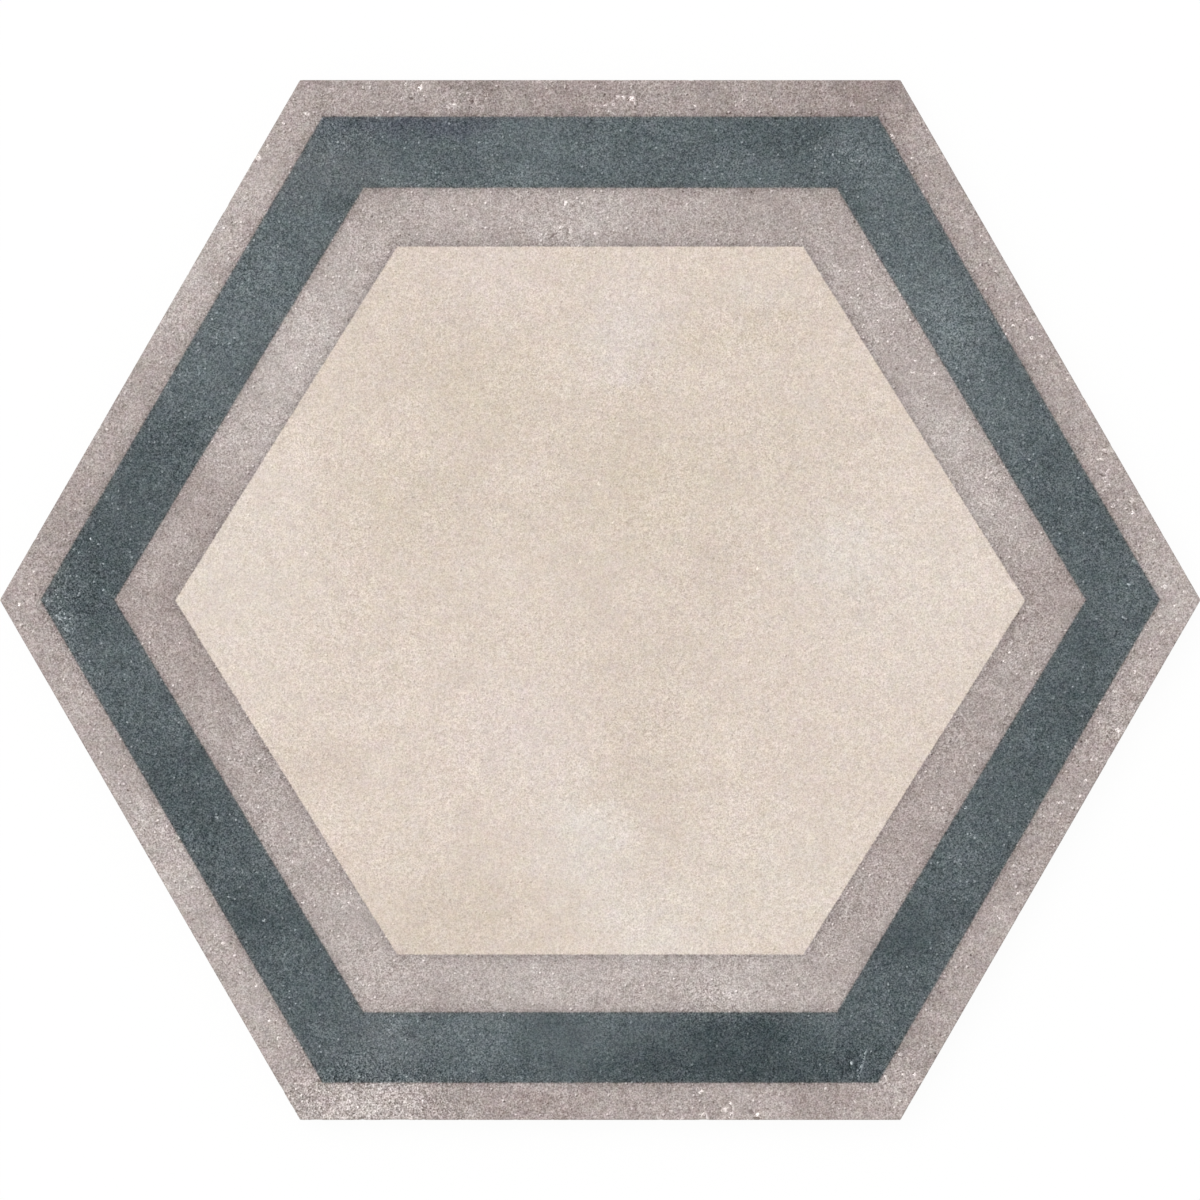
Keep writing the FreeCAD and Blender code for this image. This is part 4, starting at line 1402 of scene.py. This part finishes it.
@dataclass
class HexagonTile:
    """The fired tile, with its face, walls and keyed back. Lengths are millimetres.

    margins are the insets of the two loops that lead from the face's lattice to the arris.
    glaze_depth and wall_depths lie below the face, and crease_gap on both sides of the
    edge between land and skirt. A cell of the back has a lip, given as shares of key_edge,
    and weld is how close together two places of the back are one.
    """

    half_flats: float
    top: float
    corner_radius: float = 0.35
    arris_radius: float = 0.4
    arris_turns: tuple[float, ...] = (0, 22.5, 45, 67.5, 90)
    margins: tuple[float, float] = (1.1, 0.55)
    glaze_depth: float = 0.9
    glaze_run: float = 0.35
    glaze_run_sizes: Triple = (9.0, 2.5, 1.1)
    wall_depths: tuple[float, float] = (1.6, 3.0)
    land_height: float = 5.0
    crease_gap: float = 0.15
    skirt_draft: float = 5.0
    back_bevel: float = 0.5
    bevel_gap: float = 0.1
    foot: tuple[tuple[float, float], ...] = ((-0.04, 0.03), (0.05, 0.0))
    rim_width: float = 7.5
    cell_pitch: float = 20.0
    rib_width: float = 2.8
    cell_corner: float = 0.8
    key_depth: float = 0.6
    key_draft: float = 30.0
    key_edge: float = 0.1
    key_lip: tuple[float, float] = (0.2, 0.35)
    weld: float = 1e-5
    face_rings: int = 140
    lattice_inset: float = 1.7
    relief: tuple[tuple[float, float], ...] = ((16.0, 0.05), (4.0, 0.025), (1.8, 0.012))
    draft: MeshDraft = field(default_factory=MeshDraft)
    outline: TileOutline = field(init=False)
    arris: WornArris = field(init=False)

    def __post_init__(self) -> None:
        """Work out the outline that the loops follow, and its wear."""
        self.outline = TileOutline(self.half_flats, self.corner_radius, 2 * self.face_rings)
        self.arris = WornArris(self.outline, self.top)

    def build(self) -> bpy.types.Object:
        """Build the whole mesh and make the tile's object."""
        self._back(self._walls(self._face()))
        return self.draft.build("fired_tile")

    def _worn(self, points: Array, insets: Array) -> Array:
        """Add points to the mesh, with the nicks pressed in, and give their numbers."""
        return self.draft.add_points(*self.arris.wear(points, insets))

    def _relief(self, points: Array) -> Array:
        """How far the face dips below its highest level at each point."""
        return sum(depth * (0.5 - 0.5 * cloudy(points, size, size)) for size, depth in self.relief)

    def _face(self) -> Array:
        """Build the face as rings of a triangular lattice.

        Returns:
            Point numbers of the lattice's outermost ring.
        """
        reach = (self.half_flats - self.lattice_inset) / COS_30
        rows = [np.zeros((1, 2))]
        for ring in range(1, self.face_rings + 1):
            along = (np.arange(ring) / ring)[:, None]
            rows += [
                reach * ring / self.face_rings * (heading(turn) * (1 - along) + heading(turn + 60) * along)
                for turn in range(0, 360, 60)
            ]
        points = level_points(np.concatenate(rows), self.top)
        points[:, 2] -= self._relief(points)
        sides = points[:, :2] @ heading(np.arange(30, 390, 60)).T
        numbers = self._worn(points, self.half_flats - sides.max(axis=1))
        inner = numbers[:1]
        for ring in range(1, self.face_rings + 1):
            start = 1 + 3 * ring * (ring - 1)
            outer = numbers[start:start + 6 * ring]
            self._ring(inner, outer, ring)
            inner = outer
        return inner

    def _ring(self, inner: Array, outer: Array, ring: int) -> None:
        """Fill the space between two rings of the lattice with triangles.

        Args:
            inner: Point numbers of the inner ring.
            outer: Point numbers of the outer ring.
            ring: The outer ring's number, counted from the middle.
        """
        step = np.repeat(np.arange(6), ring)
        along = np.tile(np.arange(ring), 6)
        first, second = (outer[(step * ring + along + i) % len(outer)] for i in (0, 1))
        inside, following = (inner[(step * (ring - 1) + along + i) % len(inner)] for i in (0, 1))
        self.draft.add_faces((first, second, inside), Skin.GLAZE)
        keep = along < ring - 1
        self.draft.add_faces((inside[keep], second[keep], following[keep]), Skin.GLAZE)

    def _profile(self) -> list[tuple[float, float, Skin]]:
        """The edge's section, from the face down to the back.

        Returns:
            For each loop its inset, its height and the finish of the band above it.
        """
        land_bottom = self.top - self.land_height
        lean = math.tan(math.radians(self.skirt_draft))
        glazed = [(inset, self.top) for inset in self.margins]
        for across, down in heading(np.array(self.arris_turns)):
            glazed.append((self.arris_radius * (1 - down), self.top - self.arris_radius * (1 - across)))
        glazed.append((0.0, self.top - self.glaze_depth))
        bare = [(0.0, self.top - depth) for depth in self.wall_depths]
        bare.append((0.0, land_bottom + self.crease_gap))
        heights = (
            land_bottom - self.crease_gap, 0.5 * land_bottom, self.back_bevel + self.bevel_gap,
            self.back_bevel)
        bare += [((land_bottom - height) * lean, height) for height in heights]
        foot = land_bottom * lean + self.back_bevel
        bare += [(foot + inset, height) for inset, height in self.foot]
        return [(*place, Skin.GLAZE) for place in glazed] + [(*place, Skin.BODY) for place in bare]

    def _walls(self, edge_of_face: Array) -> Array:
        """Build the arris, land, skirt and bevel.

        Args:
            edge_of_face: Point numbers of the face's outermost ring.

        Returns:
            Point numbers of the loop at the back's edge.
        """
        upper = None
        for inset, height, skin in self._profile():
            points = self.outline.loop(inset, height)
            if height == self.top:
                points[:, 2] -= self._relief(points) * inset / self.lattice_inset
            elif height == self.top - self.glaze_depth:
                points[:, 2] += self._run(points)
            lower = self._worn(points, np.full(len(points), inset))
            if upper is None:
                self._double(edge_of_face, lower)
            else:
                self.draft.bridge(upper, lower, skin)
            upper = lower
        return upper

    def _run(self, points: Array) -> Array:
        """How much higher or lower the glaze ends on the wall at each point."""
        runs = (cloudy(points, size) / step for step, size in enumerate(self.glaze_run_sizes, start=1))
        return self.glaze_run * sum(runs)

    def _double(self, ring: Array, loop: Array) -> None:
        """Join a ring of the lattice to a loop with twice as many points.

        Args:
            ring: Point numbers of the ring.
            loop: Point numbers of the loop.
        """
        even, odd, after = loop[0::2], loop[1::2], np.roll(loop, -2)[0::2]
        following = np.roll(ring, -1)
        for corners in ((ring, even, odd), (ring, odd, following), (following, odd, after)):
            self.draft.add_faces(corners, Skin.GLAZE)

    def _cells(self) -> list[Cell]:
        """Lay out the back's recessed cells, cut off straight at the rim.

        Returns:
            The outline of each cell where the recess meets the standing face.
        """
        field_half = self.half_flats - self.rim_width
        radius = (self.cell_pitch - self.rib_width) / math.sqrt(3)
        row_pitch = self.cell_pitch * COS_30
        rings = math.ceil((field_half + radius) / row_pitch) - 1
        hexagon = radius * heading(np.arange(90, 450, 60))
        cells = []
        for row in range(-rings, rings + 1):
            for place in range(max(-rings, -rings - row), min(rings, rings - row) + 1):
                middle = (self.cell_pitch * (place + row / 2), row * row_pitch)
                cells.append(Cell(hexagon + middle).clipped(field_half))
        return [cell for cell in cells if len(cell.corners) > 2]

    def _back(self, bottom: Array) -> None:
        """Build the ribs' standing face and the cells between them.

        Args:
            bottom: Point numbers of the loop at the back's edge.
        """
        lean, edge = math.tan(math.radians(self.key_draft)), self.key_edge
        lip_inset, lip_height = self.key_lip
        section = (
            (-edge, 0.0),
            (lip_inset * edge, lip_height * edge),
            ((self.key_depth - edge) * lean, self.key_depth - edge),
            ((self.key_depth + edge) * lean + edge, self.key_depth),
        )
        outlines = [(self.draft.points[-1][:, :2], bottom)]
        for cell in self._cells():
            loops = []
            for inset, height in section:
                rounded = cell.inset(inset).softened(self.cell_corner)
                loops.append(self.draft.add_points(level_points(rounded, height)))
                if len(loops) == 1:
                    outlines.append((rounded, loops[0]))
            for outer, inner in zip(loops, loops[1:]):
                self.draft.add_faces((inner, np.roll(inner, -1), np.roll(outer, -1), outer), Skin.BACK)
            self.draft.add_faces(loops[-1][::-1, None], Skin.BACK)
        self._standing_face(outlines)

    def _standing_face(self, outlines: list[tuple[Array, Array]]) -> None:
        """Fill the back with triangles, apart from its cells.

        Args:
            outlines: Places and point numbers of the back's outline, then of each cell's.
        """
        places, sides, owner = [], [], []
        for number, (outline, _) in enumerate(outlines):
            start, count = len(places), len(outline)
            places += [Vector(place) for place in outline]
            sides += [(start + i, start + (i + 1) % count) for i in range(count)]
            owner += [number] * count
        numbers = np.concatenate([own for _, own in outlines])
        _, _, triangles, origins, _, _ = geometry.delaunay_2d_cdt(places, sides, [], 0, self.weld)
        for triangle in triangles:
            corners = [origins[i][0] for i in reversed(triangle)]
            owners = {owner[i] for i in corners}
            if len(owners) > 1 or 0 in owners:
                self.draft.add_faces(numbers[corners][:, None], Skin.BACK)


@dataclass(frozen=True)
class MarkStrips:
    """Shares the marks out among upright strips of the face, one marked glaze to each.

    One material holds only so many marks. The marks within overlap of a strip, in
    photograph pixels, belong to it too. A mark's glaze goes as far as spread times its
    half length, and a margin in millimetres more.
    """

    marks_at_once: int = 36
    overlap: float = 12.0
    spread: float = 1.3
    margin: float = 1.2

    def dress(self, mesh: bpy.types.Mesh, glaze: PrintedGlaze, shop: Workshop) -> None:
        """Give a marked glaze to the glazed faces of each strip that a mark may reach.

        Args:
            mesh: The tile's mesh, in metres.
            glaze: The glaze.
            shop: The shared node groups.
        """
        places = sorted(mark.x for mark in MARKS)
        edges = [0.0, *places[self.marks_at_once::self.marks_at_once], PHOTO.width]
        middles = flat_places(mesh.polygons, "center")
        across = middles[:, 0] / PHOTO.mm_per_pixel[0] + PHOTO.centre[0]
        skins = np.empty(len(middles), np.int32)
        mesh.polygons.foreach_get("material_index", skins)
        for number, (start, end) in enumerate(zip(edges, edges[1:]), start=Skin.MARKED_GLAZE):
            marks = [mark for mark in MARKS if start - self.overlap < mark.x < end + self.overlap]
            mesh.materials.append(glaze.dress(shop, f"marked_glaze_{number}", marks))
            near = np.zeros(len(middles), bool)
            for mark in marks:
                reach = self.spread * max(mark.half_length, mark.half_breadth) * PHOTO.mm_per_pixel[0]
                near |= np.linalg.norm(middles - mark.centre, axis=1) < reach + self.margin
            skins[near & (across >= start) & (across < end) & (skins == Skin.GLAZE)] = number
            log.info("strip %.0f to %.0f: %d marks", start, end, len(marks))
        mesh.polygons.foreach_set("material_index", skins)


@dataclass(frozen=True)
class Studio:
    """The floor, the light and the camera, in metres. lamp_place is where the lamp hangs."""

    face_height: float
    lens: float = 120.0
    sensor: float = 36.0
    floor_size: float = 6.0
    floor_gap: float = 0.0001
    floor_shadow: float = 0.07
    sky: float = 0.75
    lamp_size: float = 2.5
    lamp_place: Triple = (-1.05, 1.05, 3.0)
    lamp_power: float = 42.0

    def build(self) -> None:
        """Set everything up."""
        self._camera()
        self._floor()
        self._world()
        self._lamp()

    def _camera(self) -> None:
        """Look straight down, with the tile from one edge of the frame to the other."""
        data = bpy.data.cameras.new("camera")
        data.lens = self.lens
        data.sensor_width = self.sensor
        camera = place_object("camera", data)
        frame_width = PHOTO.frame_width * MILLIMETRE
        metres_per_pixel = frame_width / PHOTO.width
        camera.location = (
            (0.5 * PHOTO.width - PHOTO.centre[0]) * metres_per_pixel,
            (PHOTO.centre[1] - 0.5 * PHOTO.width) * metres_per_pixel,
            self.face_height + frame_width * self.lens / self.sensor,
        )
        bpy.context.scene.camera = camera

    def _floor(self) -> None:
        """A level white floor that keeps a faint shadow.

        Only the camera sees it, and only from above, so that the back can be looked at
        too: every other ray goes on to the white sky beneath.
        """
        half = 0.5 * self.floor_size
        corners = [(-half, -half, 0), (half, -half, 0), (half, half, 0), (-half, half, 0)]
        mesh = bpy.data.meshes.new("floor")
        mesh.from_pydata(corners, [], [(0, 1, 2, 3)])
        mesh.transform(Matrix.Translation((0.0, 0.0, -self.floor_gap)))
        material = bpy.data.materials.new("white_floor")
        material.use_nodes = True
        nodes = material.node_tree.nodes
        nodes.remove(nodes["Principled BSDF"])
        graph = Graph(material.node_tree)
        diffuse = graph.add("BsdfDiffuse", {"Color": WHITE}).outputs[0]
        white = graph.add("Emission").outputs[0]
        pale = graph.add("MixShader", {0: self.floor_shadow, 1: white, 2: diffuse}).outputs[0]
        above = graph.math("SUBTRACT", 1.0, graph.add("NewGeometry").outputs["Backfacing"])
        seen = graph.math("MULTIPLY", graph.add("LightPath").outputs["Is Camera Ray"], above)
        clear = graph.add("BsdfTransparent").outputs[0]
        surface = graph.add("MixShader", {0: seen, 1: clear, 2: pale}).outputs[0]
        graph.feed(nodes["Material Output"], {"Surface": surface})
        mesh.materials.append(material)
        floor = place_object("floor", mesh)

    def _world(self) -> None:
        """An even white sky, which the camera sees as white."""
        world = bpy.data.worlds.new("sky")
        world.use_nodes = True
        bpy.context.scene.world = world
        graph = Graph(world.node_tree)
        seen = graph.add("LightPath").outputs["Is Camera Ray"]
        strength = graph.math("MULTIPLY_ADD", seen, 1.0 - self.sky, self.sky)
        graph.feed(world.node_tree.nodes["Background"], {"Color": WHITE, "Strength": strength})

    def _lamp(self) -> None:
        """One large soft lamp to the upper left, turned to the tile."""
        data = bpy.data.lights.new("soft_lamp", "AREA")
        data.size = self.lamp_size
        data.energy = self.lamp_power
        lamp = place_object("soft_lamp", data)
        lamp.location = self.lamp_place
        lamp.rotation_euler = (-lamp.location).to_track_quat("-Z", "Y").to_euler()


def main() -> None:
    """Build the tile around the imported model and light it."""
    logging.basicConfig(level=logging.INFO, format="%(message)s")
    bpy.context.scene.view_settings.view_transform = "Standard"
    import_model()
    _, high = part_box("hexagon_tile")
    piece = HexagonTile(half_flats=high.y / MILLIMETRE, top=high.z / MILLIMETRE).build()
    shop = Workshop()
    glaze = PrintedGlaze()
    glaze.tone.paint(piece.data, tuple(outline.half_height for outline in glaze.outlines))
    for material in (
        glaze.dress(shop, "printed_glaze"),
        FiredBody("fired_walls").dress(shop),
        FiredBody("washed_back", wash=0.55).dress(shop),
    ):
        piece.data.materials.append(material)
    MarkStrips().dress(piece.data, glaze, shop)
    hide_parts("hexagon_tile")
    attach(piece, "root")
    log.info("%s: %d points, %d faces", piece.name, len(piece.data.vertices), len(piece.data.polygons))
    Studio(face_height=high.z).build()


if __name__ == "__main__":
    main()
